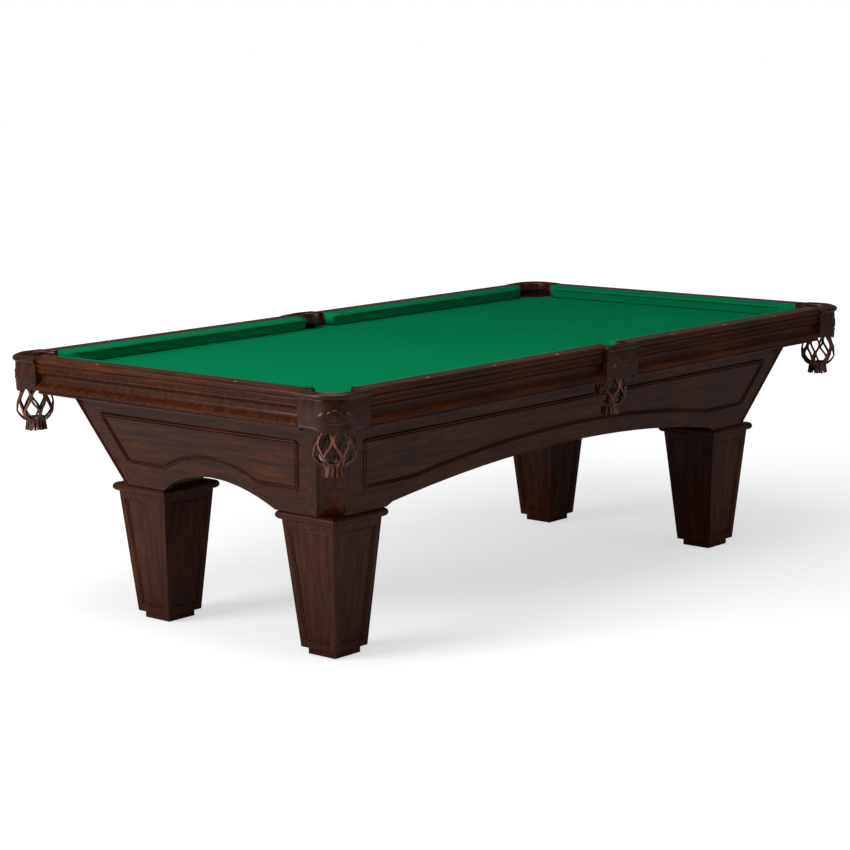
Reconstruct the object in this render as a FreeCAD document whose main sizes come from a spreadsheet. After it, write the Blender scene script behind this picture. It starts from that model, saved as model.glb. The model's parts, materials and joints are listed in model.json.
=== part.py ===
"""Eight-foot pool table with drop pockets: slate bed, cloth, cushions, arched cabinet and square legs.

Millimetres.  X runs along the table, Y across it and +Z up, with the origin on the floor under the middle
of the table.  Every size is a cell of the sheet "Sizes"; each outline is drawn from those cells.
"""
import FreeCAD, Part
import math
import os
import Sketcher

doc = FreeCAD.newDocument("PoolTable")
sheet = doc.addObject("Spreadsheet::Sheet", "Sizes")

DRIVING_SIZES = {
    # playing field, measured between the cushion noses
    "field_length": 2235.2,
    "field_width": 1117.6,
    "rail_top": 800.0,
    "bed_top": 758.5,
    # bed
    "cloth_thick": 1.0,
    "slate_thick": 25.4,
    "slate_margin": 76.2,
    "slate_gap": 0.4,
    "backing_thick": 19.0,
    "backing_width": 70.0,
    # cushions, across the rail from the nose line
    "cushion_depth": 40.0,
    "nose_height": 793.0,
    "nose_under": 788.0,
    "cushion_root": 762.0,
    "cushion_face_back": 14.0,
    "feather_width": 4.0,
    "feather_depth": 6.0,
    # top rail and skirt, across the rail from the nose line
    "rail_reach": 96.0,
    "rail_bead_root": 98.0,
    "bead_low": 782.0,
    "bead_round": 10.0,
    "lower_bead_round": 6.0,
    "skirt_joint": 771.0,
    "skirt_inner": 81.2,
    "skirt_face": 97.0,
    "skirt_ridge_top": 765.0,
    "skirt_ridge_low": 756.0,
    "skirt_ridge_round": 5.0,
    "skirt_cove_low": 720.0,
    "skirt_cove_round": 20.0,
    "skirt_cove_reach": 100.0,
    "skirt_reach": 105.0,
    "skirt_lip_top": 714.0,
    "skirt_lip_low": 705.0,
    "skirt_strip_face": 94.0,
    "skirt_strip_low": 694.0,
    "skirt_strip_round": 6.0,
    # pockets
    "corner_offset": 31.0,
    "corner_hole": 58.0,
    "corner_rim": 78.0,
    "corner_ear": 62.0,
    "corner_mouth": 127.0,
    "corner_facing": 38.0,
    "corner_mouth_flare": 0.13,
    "side_offset": 56.0,
    "side_hole": 48.0,
    "side_rim": 57.0,
    "side_ear": 75.0,
    "side_ear_depth": 24.0,
    "side_mouth": 137.0,
    "side_facing": 76.0,
    "pocket_fit": 0.3,
    "slate_fall": 6.0,
    "rim_bottom": 782.0,
    "shield_bottom": 700.0,
    "shield_inset": 3.0,
    "leather_thick": 5.0,
    "iron_thick": 3.0,
    "iron_height": 20.0,
    "iron_gap": 1.0,
    # nets
    "net_top": 722.0,
    "net_wall": 3.0,
    "net_rim_low": 700.0,
    "corner_net_out": 22.0,
    "side_net_out": 8.0,
    "corner_net_top": 42.0,
    "corner_net_belly": 57.0,
    "corner_net_neck": 29.0,
    "corner_net_tail": 33.0,
    "corner_belly_height": 640.0,
    "corner_neck_height": 606.0,
    "corner_tail_height": 576.0,
    "side_net_top": 35.0,
    "side_net_belly": 47.0,
    "side_net_neck": 25.0,
    "side_net_tail": 30.0,
    "side_belly_height": 655.0,
    "side_neck_height": 619.0,
    "side_tail_height": 590.0,
    # cabinet
    "cabinet_low": 414.0,
    "cabinet_inset_x": 105.6,
    "cabinet_inset_y": 115.8,
    "cabinet_rise_x": 113.0,
    "cabinet_rise_y": 115.0,
    "apron_thick": 25.0,
    "post_chamfer": 55.0,
    "post_width": 90.0,
    "post_thick": 30.0,
    "arch_facet": 20.0,
    "arch_step": 12.0,
    "long_arch_top": 492.0,
    "short_arch_top": 481.0,
    "bead_margin": 34.0,
    "bead_width": 13.5,
    "bead_proud": 4.0,
    "bead_top": 637.0,
    "bead_bottom": 482.0,
    "bead_above_arch": 50.0,
    "long_bead_arch": 713.0,
    "short_bead_arch": 190.0,
    "beam_width": 45.0,
    "beam_height": 70.0,
    "slate_joint": 398.0,
    "outer_beam": 820.0,
    # legs
    "leg_inset_x": 215.6,
    "leg_inset_y": 220.8,
    "cap_half": 111.5,
    "cap_thick": 26.0,
    "cap_round": 12.9,
    "leg_top_half": 98.0,
    "leg_foot_half": 65.5,
    "plinth_half": 51.0,
    "plinth_top": 23.0,
    "plinth_lift": 2.0,
    "stile_width": 20.0,
    "panel_depth": 4.0,
    "panel_low": 45.0,
    "panel_high": 366.0,
    # leveller
    "pad_round": 22.0,
    "pad_thick": 9.0,
    "pad_recess_round": 24.0,
    "stem_round": 5.95,
    "insert_bore": 6.0,
    "insert_round": 9.0,
    "insert_low": 24.0,
    "insert_length": 20.0,
    "stem_top": 60.0,
    "stem_flat": 17.0,
    "stem_flat_thick": 6.0,
    "stem_hole_round": 8.0,
    "stem_hole_top": 78.0,
    # fasteners
    "rail_bolt_round": 4.0,
    "rail_bolt_across": 9.0,
    "rail_bolt_setback": 60.0,
    "rail_bolt_depth": 22.0,
    "rail_bolt_pitch": 251.46,
    "bolt_clearance": 0.4,
    "washer_round": 12.0,
    "washer_thick": 2.5,
    "head_thick": 5.5,
    "leg_bolt_round": 5.0,
    "leg_bolt_spread": 50.0,
    "leg_bolt_depth": 75.0,
    "block_thick": 25.0,
    "block_half": 78.0,
    # inlays
    "sight_pitch": 279.4,
    "sight_setback": 85.0,
    "sight_half": 6.5,
    "sight_waist": 3.5,
    "sight_thick": 1.5,
    "plate_half": 42.0,
    "plate_waist": 9.0,
}


class Size:
    """A length together with the formula over sheet cells that gives it."""

    def __init__(self, value, text):
        self.value = value
        self.text = text

    @staticmethod
    def of(item):
        return item if isinstance(item, Size) else Size(float(item), repr(float(item)))

    def join(self, other, sign, value):
        return Size(value, "(%s %s %s)" % (self.text, sign, other.text))

    def __add__(self, other):
        other = Size.of(other)
        return self.join(other, "+", self.value + other.value)

    def __sub__(self, other):
        other = Size.of(other)
        return self.join(other, "-", self.value - other.value)

    def __mul__(self, other):
        other = Size.of(other)
        return self.join(other, "*", self.value * other.value)

    def __truediv__(self, other):
        other = Size.of(other)
        return self.join(other, "/", self.value / other.value)

    def __neg__(self):
        return Size(-self.value, "(-1 * %s)" % self.text)

    def __rsub__(self, other):
        return Size.of(other) - self

    __radd__ = __add__
    __rmul__ = __mul__


class Sheet:
    """The spreadsheet's cells as attributes, so that sizes.cap_half is a Size."""

    def __init__(self, cells):
        for row, (alias, number) in enumerate(cells.items(), start=1):
            sheet.set("A%d" % row, alias)
            sheet.set("B%d" % row, str(number))
            sheet.setAlias("B%d" % row, alias)
            setattr(self, alias, Size(number, "Sizes." + alias))


sizes = Sheet(DRIVING_SIZES)
doc.recompute()
ZERO = Size.of(0)
BIG = Size.of(300)  # more than any board is thick
LONG = Size.of(1800)  # more than half the table is long
CUT_LOW = Size.of(600)  # a height below every pocket and above the cabinet's foot
BOLT_STEPS = (1.5, 2.5, 3.5)  # rail bolts of a long side, in pitches from the table's middle


def root(size):
    return Size(math.sqrt(size.value), "sqrt(%s)" % size.text)


def cosine(angle):
    return Size(math.cos(math.radians(angle.value)), "cos(%s * 1deg)" % angle.text)


def sine(angle):
    return Size(math.sin(math.radians(angle.value)), "sin(%s * 1deg)" % angle.text)


def tangent(angle):
    return sine(angle) / cosine(angle)


def arc_round(half_chord, rise):
    """Radius of the arc that rises by rise over twice half_chord."""
    return (half_chord * half_chord + rise * rise) / (2 * rise)


# ---------------------------------------------------------------- building blocks

def bind(item, name, size):
    item.setExpression(name, Size.of(size).text)


def place(item, x=0, y=0, z=0, turn=0):
    """Puts an object at a point given by sizes, turned about +Z by whole degrees."""
    item.Placement = FreeCAD.Placement(FreeCAD.Vector(), FreeCAD.Rotation(FreeCAD.Vector(0, 0, 1), turn))
    for axis, size in zip("xyz", (x, y, z)):
        bind(item, ".Placement.Base." + axis, size)
    return item


def origin_plane(body, role):
    return next(plane for plane in body.Origin.OriginFeatures if plane.Role == role)


def arc_centre(start, end, radius, side):
    """Centre of the shorter arc from start to end, left of the chord for side 1 and right for -1."""
    half = (end - start) * 0.5
    reach = math.sqrt(max(radius ** 2 - half.Length ** 2, 0.0))
    left = FreeCAD.Vector(-half.y, half.x, 0).normalize()
    return start + half + left * reach * side


def draw_outline(sketch, corners, tag="p"):
    """Draws one closed outline and ties each corner, and each arc's radius, to its sizes.

    A corner is (x, y), or (x, y, radius, side) where the edge that leaves it is an arc.
    """
    places = [FreeCAD.Vector(Size.of(c[0]).value, Size.of(c[1]).value, 0) for c in corners]
    edges = []
    for index, corner in enumerate(corners):
        start = places[index]
        end = places[(index + 1) % len(corners)]
        if len(corner) == 2:
            edges.append((sketch.addGeometry(Part.LineSegment(start, end), False), 1, 2))
            continue
        centre = arc_centre(start, end, corner[2].value, corner[3])
        first, last = (start, end) if corner[3] > 0 else (end, start)
        angles = [math.atan2(p.y - centre.y, p.x - centre.x) for p in (first, last)]
        circle = Part.Circle(centre, FreeCAD.Vector(0, 0, 1), corner[2].value)
        arc = sketch.addGeometry(Part.ArcOfCircle(circle, *angles), False)
        edges.append((arc, 1, 2) if corner[3] > 0 else (arc, 2, 1))
    for index, (edge, first, last) in enumerate(edges):
        follower = edges[(index + 1) % len(edges)]
        sketch.addConstraint(Sketcher.Constraint("Coincident", edge, last, follower[0], follower[1]))
    for index, (edge, first, last) in enumerate(edges):
        named = [("DistanceX", places[index].x, corners[index][0]),
                 ("DistanceY", places[index].y, corners[index][1])]
        for kind, value, size in named:
            number = sketch.addConstraint(Sketcher.Constraint(kind, -1, 1, edge, first, value))
            sketch.renameConstraint(number, "%s%d%s" % (tag, index, kind[-1]))
            bind(sketch, "Constraints.%s%d%s" % (tag, index, kind[-1]), size)
        if len(corners[index]) > 2:
            number = sketch.addConstraint(Sketcher.Constraint("Radius", edge, corners[index][2].value))
            sketch.renameConstraint(number, "%s%dR" % (tag, index))
            bind(sketch, "Constraints.%s%dR" % (tag, index), corners[index][2])


def sketch_on(body, role, outlines, offset=None):
    """A sketch on one of the body's own planes, raised along the plane's normal by offset."""
    sketch = body.newObject("Sketcher::SketchObject", body.Name + "_outline")
    sketch.AttachmentSupport = (origin_plane(body, role), [""])
    sketch.MapMode = "FlatFace"
    if offset is not None:
        bind(sketch, ".AttachmentOffset.Base.z", offset)
    for index, corners in enumerate(outlines):
        draw_outline(sketch, corners, "abcdefgh"[index])
    return sketch


def add_pad(body, role, outlines, start, length, both_ways=False):
    """Pads the outlines from start, along the plane's normal, by length."""
    sketch = sketch_on(body, role, outlines, start)
    pad = body.newObject("PartDesign::Pad", body.Name + "_pad")
    pad.Profile = sketch
    bind(pad, "Length", length)
    pad.Midplane = both_ways
    return pad


def pad_body(name, role, outlines, start, length, both_ways=False):
    body = doc.addObject("PartDesign::Body", name)
    add_pad(body, role, outlines, start, length, both_ways)
    return body


def crossed(name, plan_role, plan, plan_start, plan_length, section, section_length, **where):
    """The solid that has one outline from above or in front and another in cross-section."""
    outer = place(pad_body(name + "_view", plan_role, [plan], plan_start, plan_length), **where)
    cross = place(pad_body(name + "_section", "YZ_Plane", [section], None, section_length, True), **where)
    both = doc.addObject("Part::Common", name)
    both.Base = outer
    both.Tool = cross
    return both


def combine(kind, name, shapes):
    """A Part::MultiFuse or Part::Compound of several objects."""
    group = doc.addObject(kind, name)
    if kind == "Part::Compound":
        group.Links = shapes
    else:
        group.Shapes = shapes
    return group


def cut(name, base, tool):
    result = doc.addObject("Part::Cut", name)
    result.Base = base
    result.Tool = tool
    return result


def cylinder(name, radius, height, x, y, z):
    item = doc.addObject("Part::Cylinder", name)
    bind(item, "Radius", radius)
    bind(item, "Height", height)
    return place(item, x, y, z)


def box(name, half_x, half_y, height, x, y, z):
    """A block centred on x, y that stands on z."""
    item = doc.addObject("Part::Box", name)
    bind(item, "Length", 2 * half_x)
    bind(item, "Width", 2 * half_y)
    bind(item, "Height", height)
    return place(item, x - half_x, y - half_y, z)


def frustum(name, low_half, high_half, low, high, x, y):
    """A square pyramid stump standing upright on x, y."""
    item = doc.addObject("Part::Wedge", name)
    bind(item, "Xmin", -low_half)
    bind(item, "Xmax", low_half)
    bind(item, "Zmin", -low_half)
    bind(item, "Zmax", low_half)
    bind(item, "X2min", -high_half)
    bind(item, "X2max", high_half)
    bind(item, "Z2min", -high_half)
    bind(item, "Z2max", high_half)
    bind(item, "Ymin", 0)
    bind(item, "Ymax", high - low)
    item.Placement = FreeCAD.Placement(FreeCAD.Vector(), FreeCAD.Rotation(FreeCAD.Vector(1, 0, 0), 90))
    for axis, size in zip("xyz", (x, y, low)):
        bind(item, ".Placement.Base." + axis, size)
    return item


def bar(x_low, x_high, y_low, y_high):
    """A rectangle's corners."""
    return [(x_low, y_low), (x_high, y_low), (x_high, y_high), (x_low, y_high)]


nodes = []


def keep(item, name=None):
    """Hands a finished piece over: its Label is the name of its node and of its file."""
    item.Label = name or item.Name
    nodes.append(item)
    return item


# ---------------------------------------------------------------- sizes worked out from the sheet

nose_x = sizes.field_length / 2
nose_y = sizes.field_width / 2
slate_top = sizes.bed_top - sizes.cloth_thick
slate_low = slate_top - sizes.slate_thick
slate_x = nose_x + sizes.slate_margin
slate_y = nose_y + sizes.slate_margin
corner_x = nose_x + sizes.corner_offset
corner_y = nose_y + sizes.corner_offset
side_y = nose_y + sizes.side_offset
rim_gap = sizes.corner_rim + sizes.pocket_fit
leg_x = nose_x - sizes.leg_inset_x
leg_y = nose_y - sizes.leg_inset_y
CORNERS = ((1, 1, "far_right"), (-1, 1, "far_left"), (-1, -1, "near_left"), (1, -1, "near_right"))
# side of the table: turn about +Z, distance of the nose line, half the side's own length
SIDES = {
    "far": (0, nose_y, nose_x),
    "near": (180, -nose_y, nose_x),
    "right": (-90, nose_x, nose_y),
    "left": (90, -nose_x, nose_y),
}


def side_place(side):
    turn, distance, half = SIDES[side]
    along_x = side in ("left", "right")
    return {"x": distance if along_x else 0, "y": 0 if along_x else distance, "turn": turn}


# The six runs of rail: name, side of the table, and which stretch of that side it covers.
RUNS = (
    ("far_right", "far", 1),
    ("far_left", "far", -1),
    ("near_left", "near", 1),
    ("near_right", "near", -1),
    ("right_end", "right", 0),
    ("left_end", "left", 0),
)


def run_ends(side, stretch, at_corner, at_side):
    """Where a run starts and ends along its side, given its set-back at each kind of pocket."""
    far = SIDES[side][2] + sizes.corner_offset - at_corner
    if stretch == 0:
        return -far, far
    return (at_side, far) if stretch > 0 else (-far, -at_side)


def run_plan(side, stretch, depth):
    """Plan of a cushion: its ends are facings cut at the pockets' angles, from the nose line to depth."""
    corner_tip = SIDES[side][2] - sizes.corner_mouth / root(Size.of(2))
    corner_heel = corner_tip + depth / tangent(sizes.corner_facing)
    side_tip = sizes.side_mouth / 2
    side_heel = side_tip - depth / tangent(sizes.side_facing)
    if stretch == 0:
        return [(-corner_tip, ZERO), (corner_tip, ZERO), (corner_heel, depth), (-corner_heel, depth)]
    if stretch > 0:
        return [(side_tip, ZERO), (corner_tip, ZERO), (corner_heel, depth), (side_heel, depth)]
    return [(-corner_tip, ZERO), (-side_tip, ZERO), (-side_heel, depth), (-corner_heel, depth)]


def extrusion(name, section, start, end, **where):
    """A moulding: one section run along its side of the table."""
    return place(pad_body(name, "YZ_Plane", [section], start, end - start), **where)


# ---------------------------------------------------------------- holes shared by several pieces

pocket_rooms = []
for sign_x, sign_y, corner in CORNERS:
    pocket_rooms.append(cylinder("room_" + corner, rim_gap, BIG,
                                 sign_x * corner_x, sign_y * corner_y, CUT_LOW))
for sign_y, side in ((1, "far"), (-1, "near")):
    reach = sizes.side_rim + sizes.pocket_fit
    pocket_rooms.append(cylinder("room_" + side, reach, BIG, 0, sign_y * side_y, CUT_LOW))
    ear_start = side_y + sizes.side_rim - sizes.shield_inset - sizes.side_ear_depth - sizes.pocket_fit
    pocket_rooms.append(box("ear_room_" + side, sizes.side_ear, BIG / 2, BIG,
                            0, sign_y * (ear_start + BIG / 2), CUT_LOW))
pocket_room = combine("Part::MultiFuse", "pocket_room", pocket_rooms)

fall_cylinders = []
for sign_x, sign_y, corner in CORNERS:
    reach = sizes.corner_hole + sizes.slate_fall
    fall_cylinders.append(cylinder("fall_" + corner, reach, BIG,
                                   sign_x * corner_x, sign_y * corner_y, CUT_LOW))
    tip_half = sizes.slate_margin / 2
    tip = box("tip_" + corner, tip_half, tip_half, BIG,
              sign_x * (corner_x + tip_half), sign_y * (corner_y + tip_half), CUT_LOW)
    fall_cylinders.append(tip)
for sign_y, side in ((1, "far"), (-1, "near")):
    reach = sizes.side_hole + sizes.slate_fall
    fall_cylinders.append(cylinder("fall_" + side, reach, BIG, 0, sign_y * side_y, CUT_LOW))
pocket_falls = combine("Part::MultiFuse", "pocket_falls", fall_cylinders)

rail_bolt_low = slate_low - sizes.backing_thick
bolt_line = sizes.rail_bolt_setback
bolt_spots = []
for sign in (1, -1):
    for step in BOLT_STEPS:
        for sign_x in (1, -1):
            bolt_spots.append((sign_x * step * sizes.rail_bolt_pitch, sign * (nose_y + bolt_line)))
    for share in (-1, 0, 1):
        bolt_spots.append((sign * (nose_x + bolt_line), share * sizes.sight_pitch))
bolt_holes = combine("Part::MultiFuse", "bolt_holes", [
    cylinder("bolt_hole_%d" % n, sizes.rail_bolt_round + sizes.bolt_clearance,
             sizes.bed_top + sizes.rail_bolt_depth + 1 - (slate_low - 1), x, y, slate_low - 1)
    for n, (x, y) in enumerate(bolt_spots)])

# ---------------------------------------------------------------- slate bed and cloth


def bed_plate(name, low_x, high_x, low_y, high_y, low, thick):
    plate = pad_body(name + "_plate", "XY_Plane", [bar(low_x, high_x, low_y, high_y)], low, thick)
    notched = cut(name + "_notched", plate, pocket_falls)
    return keep(cut(name, notched, bolt_holes))


joint = sizes.slate_joint
gap = sizes.slate_gap / 2
bed_plate("slate_head", -slate_x, -joint - gap, -slate_y, slate_y, slate_low, sizes.slate_thick)
bed_plate("slate_middle", -joint + gap, joint - gap, -slate_y, slate_y, slate_low, sizes.slate_thick)
bed_plate("slate_foot", joint + gap, slate_x, -slate_y, slate_y, slate_low, sizes.slate_thick)
bed_plate("bed_cloth", -slate_x, slate_x, -slate_y, slate_y, slate_top, sizes.cloth_thick)

backing = sizes.backing_thick
edge_bar = sizes.backing_width / 2
frame_y = nose_y - edge_bar
frame_x = nose_x - edge_bar
backing_low = slate_low - backing
backing_bars = [
    box("backing_head", edge_bar, frame_y - edge_bar, backing, -frame_x, 0, backing_low),
    box("backing_foot", edge_bar, frame_y - edge_bar, backing, frame_x, 0, backing_low),
    box("backing_joint_head", edge_bar, frame_y - edge_bar, backing, -joint, 0, backing_low),
    box("backing_joint_foot", edge_bar, frame_y - edge_bar, backing, joint, 0, backing_low),
]
for sign, side in ((1, "far"), (-1, "near")):
    bar_solid = box("backing_bar_" + side, frame_x - edge_bar, edge_bar, backing,
                    0, sign * frame_y, backing_low)
    backing_bars.append(cut("backing_" + side, bar_solid, pocket_falls))
keep(combine("Part::Compound", "slate_backing", backing_bars))

# ---------------------------------------------------------------- sights and plate, let into the rail tops

top = sizes.rail_top
inlay_low = top - sizes.sight_thick


def diamond(name, half_long, half_wide, x, y, turn):
    outline = [(-half_long, ZERO), (ZERO, -half_wide), (half_long, ZERO), (ZERO, half_wide)]
    body = pad_body(name, "XY_Plane", [outline], ZERO, sizes.sight_thick)
    return place(body, x, y, inlay_low, turn)


sights = []
for sign in (1, -1):
    for step in (-3, -2, -1, 1, 2, 3):
        spot = (step * sizes.sight_pitch, sign * (nose_y + sizes.sight_setback))
        sights.append(diamond("sight_%d" % len(sights), sizes.sight_half, sizes.sight_waist, *spot, 0))
    for step in (-1, 0, 1):
        if (sign, step) != (-1, 0):
            spot = (sign * (nose_x + sizes.sight_setback), step * sizes.sight_pitch)
            sights.append(diamond("sight_%d" % len(sights), sizes.sight_half, sizes.sight_waist, *spot, 90))
keep(combine("Part::Compound", "sights", sights))
plate = box("name_plate", sizes.plate_waist, sizes.plate_half, sizes.sight_thick,
            -(nose_x + sizes.sight_setback), 0, inlay_low)
keep(plate)
inlays = combine("Part::MultiFuse", "inlay_seats", sights + [plate])

# ---------------------------------------------------------------- cushions, rails and skirts

cloth = sizes.cloth_thick
depth = sizes.cushion_depth
rubber_section = [
    (cloth, sizes.nose_height),
    (depth, top - cloth),
    (depth, sizes.cushion_root),
    (sizes.cushion_face_back, sizes.cushion_root),
    (4 * cloth, sizes.nose_under),
]
cover_section = [
    (depth, top),
    (ZERO, sizes.nose_height + cloth),
    (3 * cloth, sizes.nose_under - cloth),
    (sizes.cushion_face_back - cloth, sizes.cushion_root - cloth),
    (depth, sizes.cushion_root - cloth),
    (depth, sizes.cushion_root),
    (sizes.cushion_face_back, sizes.cushion_root),
    (4 * cloth, sizes.nose_under),
    (cloth, sizes.nose_height),
    (depth, top - cloth),
]
feather = depth + sizes.feather_width
feather_section = bar(depth, feather, top - sizes.feather_depth, top)
rail_section = [
    (depth, sizes.bed_top),
    (sizes.skirt_inner - 2, sizes.bed_top),
    (sizes.skirt_inner - 2, sizes.skirt_joint),
    (sizes.rail_bead_root, sizes.skirt_joint, sizes.lower_bead_round, 1),
    (sizes.rail_bead_root, sizes.bead_low - 1),
    (sizes.rail_bead_root, sizes.bead_low, sizes.bead_round, 1),
    (sizes.rail_reach, top),
    (feather, top),
    (feather, top - sizes.feather_depth),
    (depth, top - sizes.feather_depth),
]
skirt_section = [
    (sizes.skirt_inner, sizes.skirt_joint),
    (sizes.skirt_inner, sizes.skirt_strip_low),
    (sizes.skirt_strip_face, sizes.skirt_strip_low, sizes.skirt_strip_round, 1),
    (sizes.skirt_strip_face, sizes.skirt_lip_low - 1),
    (sizes.skirt_strip_face, sizes.skirt_lip_low),
    (sizes.skirt_reach, sizes.skirt_lip_low),
    (sizes.skirt_reach, sizes.skirt_lip_top),
    (sizes.skirt_cove_reach, sizes.skirt_cove_low, sizes.skirt_cove_round, -1),
    (sizes.skirt_face, sizes.skirt_ridge_low, sizes.skirt_ridge_round, 1),
    (sizes.skirt_face, sizes.skirt_ridge_top),
    (sizes.skirt_face, sizes.skirt_joint),
]

cushions, covers, feathers, skirts = [], [], [], []
for run, side, stretch in RUNS:
    where = side_place(side)
    length = 2 * SIDES[side][2] + 2 * BIG
    plan = run_plan(side, stretch, depth)
    low = sizes.bed_top
    cushions.append(crossed("cushion_" + run, "XY_Plane", plan, low, BIG, rubber_section, length, **where))
    covers.append(crossed("cover_" + run, "XY_Plane", plan, low, BIG, cover_section, length, **where))
    start, end = run_ends(side, stretch, sizes.corner_ear, sizes.side_rim)
    strip = extrusion("feather_" + run, feather_section, start, end, **where)
    feathers.append(cut("feather_cut_" + run, strip, pocket_room))
    start, end = run_ends(side, stretch, sizes.corner_ear, sizes.side_rim - 2)
    bare = extrusion("rail_bare_" + run, rail_section, start, end, **where)
    scooped = cut("rail_scooped_" + run, bare, pocket_room)
    drilled = cut("rail_drilled_" + run, scooped, bolt_holes)
    keep(cut("rail_" + run, drilled, inlays))
    start, end = run_ends(side, stretch, sizes.corner_ear, sizes.side_ear)
    moulding = extrusion("skirt_" + run, skirt_section, start, end, **where)
    skirts.append(cut("skirt_cut_" + run, moulding, pocket_room))
keep(combine("Part::Compound", "cushion_rubbers", cushions))
keep(combine("Part::Compound", "cushion_cloth", covers))
keep(combine("Part::Compound", "feather_strips", feathers))
keep(combine("Part::Compound", "rail_skirts", skirts))

# ---------------------------------------------------------------- rail bolts

washers, bolts = [], []
for number, (x, y) in enumerate(bolt_spots):
    ring = cylinder("washer_disc_%d" % number, sizes.washer_round, sizes.washer_thick, x, y,
                    slate_low - sizes.washer_thick)
    bore = cylinder("washer_bore_%d" % number, sizes.rail_bolt_round + sizes.bolt_clearance, BIG, x, y,
                    slate_low - 100)
    washers.append(cut("washer_%d" % number, ring, bore))
    head = cylinder("bolt_head_%d" % number, sizes.rail_bolt_across, sizes.head_thick, x, y,
                    slate_low - sizes.washer_thick - sizes.head_thick)
    shank = cylinder("bolt_shank_%d" % number, sizes.rail_bolt_round,
                     sizes.slate_thick + sizes.rail_bolt_depth + sizes.washer_thick, x, y,
                     slate_low - sizes.washer_thick)
    bolts.append(combine("Part::MultiFuse", "bolt_%d" % number, [head, shank]))
keep(combine("Part::Compound", "rail_bolt_washers", washers))
keep(combine("Part::Compound", "rail_bolts", bolts))

# ---------------------------------------------------------------- pockets


def pocket(name, rim, hole, ear, square, x, y, turn):
    """Leather collar with its apron, and the cast iron inside it; local +Y points away from the table.

    The ring is a circle about the pocket; the ear is the stretch to each side that closes the skirts' ends.
    square marks a corner pocket, whose ears run along both sides of the table.
    """
    fit = sizes.pocket_fit
    ring_top = top - sizes.rim_bottom
    wall = sizes.leather_thick
    face = rim - sizes.shield_inset
    body = doc.addObject("PartDesign::Body", name + "_disc")
    add_pad(body, "XY_Plane", [circle_outline(rim)], sizes.rim_bottom, ring_top)
    pieces = [place(body, x, y, 0, turn)]
    where = {"x": x, "y": y, "turn": turn}
    outline = ear_outline(rim, ear - fit, square)
    pieces.append(place(pad_body(name + "_ear", "XY_Plane", [outline], sizes.rim_bottom, ring_top), **where))
    drop = sizes.rim_bottom - sizes.shield_bottom
    outline = ear_outline(face, ear - fit, square)
    solid = place(pad_body(name + "_apron", "XY_Plane", [outline], sizes.shield_bottom, drop), **where)
    inner = ear_outline(face - wall, ear + fit, square)
    hollow = pad_body(name + "_hollow", "XY_Plane", [inner], sizes.shield_bottom - 1, drop + 1)
    hollow = place(hollow, **where)
    pieces.append(cut(name + "_shell", solid, hollow))
    whole = combine("Part::MultiFuse", name + "_whole", pieces)
    mouth = place(pad_body(name + "_mouth", "XY_Plane", [mouth_outline(rim, square)], sizes.rim_bottom - 1,
                           ring_top + 2), x, y, 0, turn)
    bore = cylinder(name + "_bore", hole, BIG, x, y, CUT_LOW)
    opened = cut(name + "_open", whole, mouth)
    keep(cut("pocket_leather_" + name, opened, bore))
    ring = cylinder(name + "_iron_disc", face - wall - sizes.iron_gap, sizes.iron_height, x, y,
                    sizes.rim_bottom - sizes.iron_height)
    core = cylinder(name + "_iron_bore", face - wall - sizes.iron_gap - sizes.iron_thick, BIG, x, y, CUT_LOW)
    iron_mouth = place(pad_body(name + "_iron_mouth", "XY_Plane", [mouth_outline(rim, square)], CUT_LOW, BIG),
                       x, y, 0, turn)
    irons.append(cut(name + "_iron", cut(name + "_iron_ring", ring, core), iron_mouth))


def circle_outline(radius):
    return [(radius, ZERO, radius, 1), (ZERO, radius, radius, 1), (-radius, ZERO, radius, 1),
            (ZERO, -radius, radius, 1)]


def ear_outline(reach, ear, square):
    """Block behind the ring: a rounded corner for a corner pocket, a straight bar for a side pocket."""
    if square:
        return [(reach, -ear), (reach, ZERO, reach, 1), (ZERO, reach), (-ear, reach), (-ear, ZERO),
                (ZERO, ZERO), (ZERO, -ear)]
    back = reach - sizes.side_ear_depth
    return [(-ear, back), (ear, back), (ear, reach), (-ear, reach)]


def mouth_outline(rim, square):
    """The part of the ring that is left away on the table's side, as a wedge or a half plane."""
    far = 2 * rim
    if square:
        flare = sizes.corner_mouth_flare * far
        return [(ZERO, ZERO), (-far, flare), (-far, -far), (flare, -far)]
    drop = sizes.side_offset - sizes.cushion_depth
    return [(-far, -drop), (-far, -far), (far, -far), (far, -drop)]


irons = []
for turn, (sign_x, sign_y, corner) in zip((0, 90, 180, 270), CORNERS):
    pocket(corner, sizes.corner_rim, sizes.corner_hole, sizes.corner_ear, True,
           sign_x * corner_x, sign_y * corner_y, turn)
for turn, sign_y, side in ((0, 1, "far_side"), (180, -1, "near_side")):
    pocket(side, sizes.side_rim, sizes.side_hole, sizes.side_ear, False, 0, sign_y * side_y, turn)
keep(combine("Part::Compound", "pocket_irons", irons))


def net(name, kind, x, y):
    """A hanging cup: open at the top, widest at the belly, gathered at the neck, with a flared tail."""
    rim, belly, neck, tail = (getattr(sizes, "%s_net_%s" % (kind, word))
                              for word in ("top", "belly", "neck", "tail"))
    belly_z, neck_z, tail_z = (getattr(sizes, "%s_%s_height" % (kind, word))
                               for word in ("belly", "neck", "tail"))
    wall = sizes.net_wall
    outline = [
        (ZERO, tail_z), (tail, tail_z), (neck, neck_z), (belly, belly_z), (rim, sizes.net_rim_low),
        (rim, sizes.net_top), (rim - wall, sizes.net_top), (rim - wall, sizes.net_rim_low),
        (belly - wall, belly_z), (neck - wall, neck_z + wall), (ZERO, neck_z + wall)]
    body = doc.addObject("PartDesign::Body", "net_" + name)
    sketch = sketch_on(body, "XZ_Plane", [outline])
    turned = body.newObject("PartDesign::Revolution", "net_%s_turned" % name)
    turned.Profile = sketch
    turned.ReferenceAxis = (sketch, ["V_Axis"])
    turned.Angle = 360
    return keep(place(body, x, y))


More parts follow.
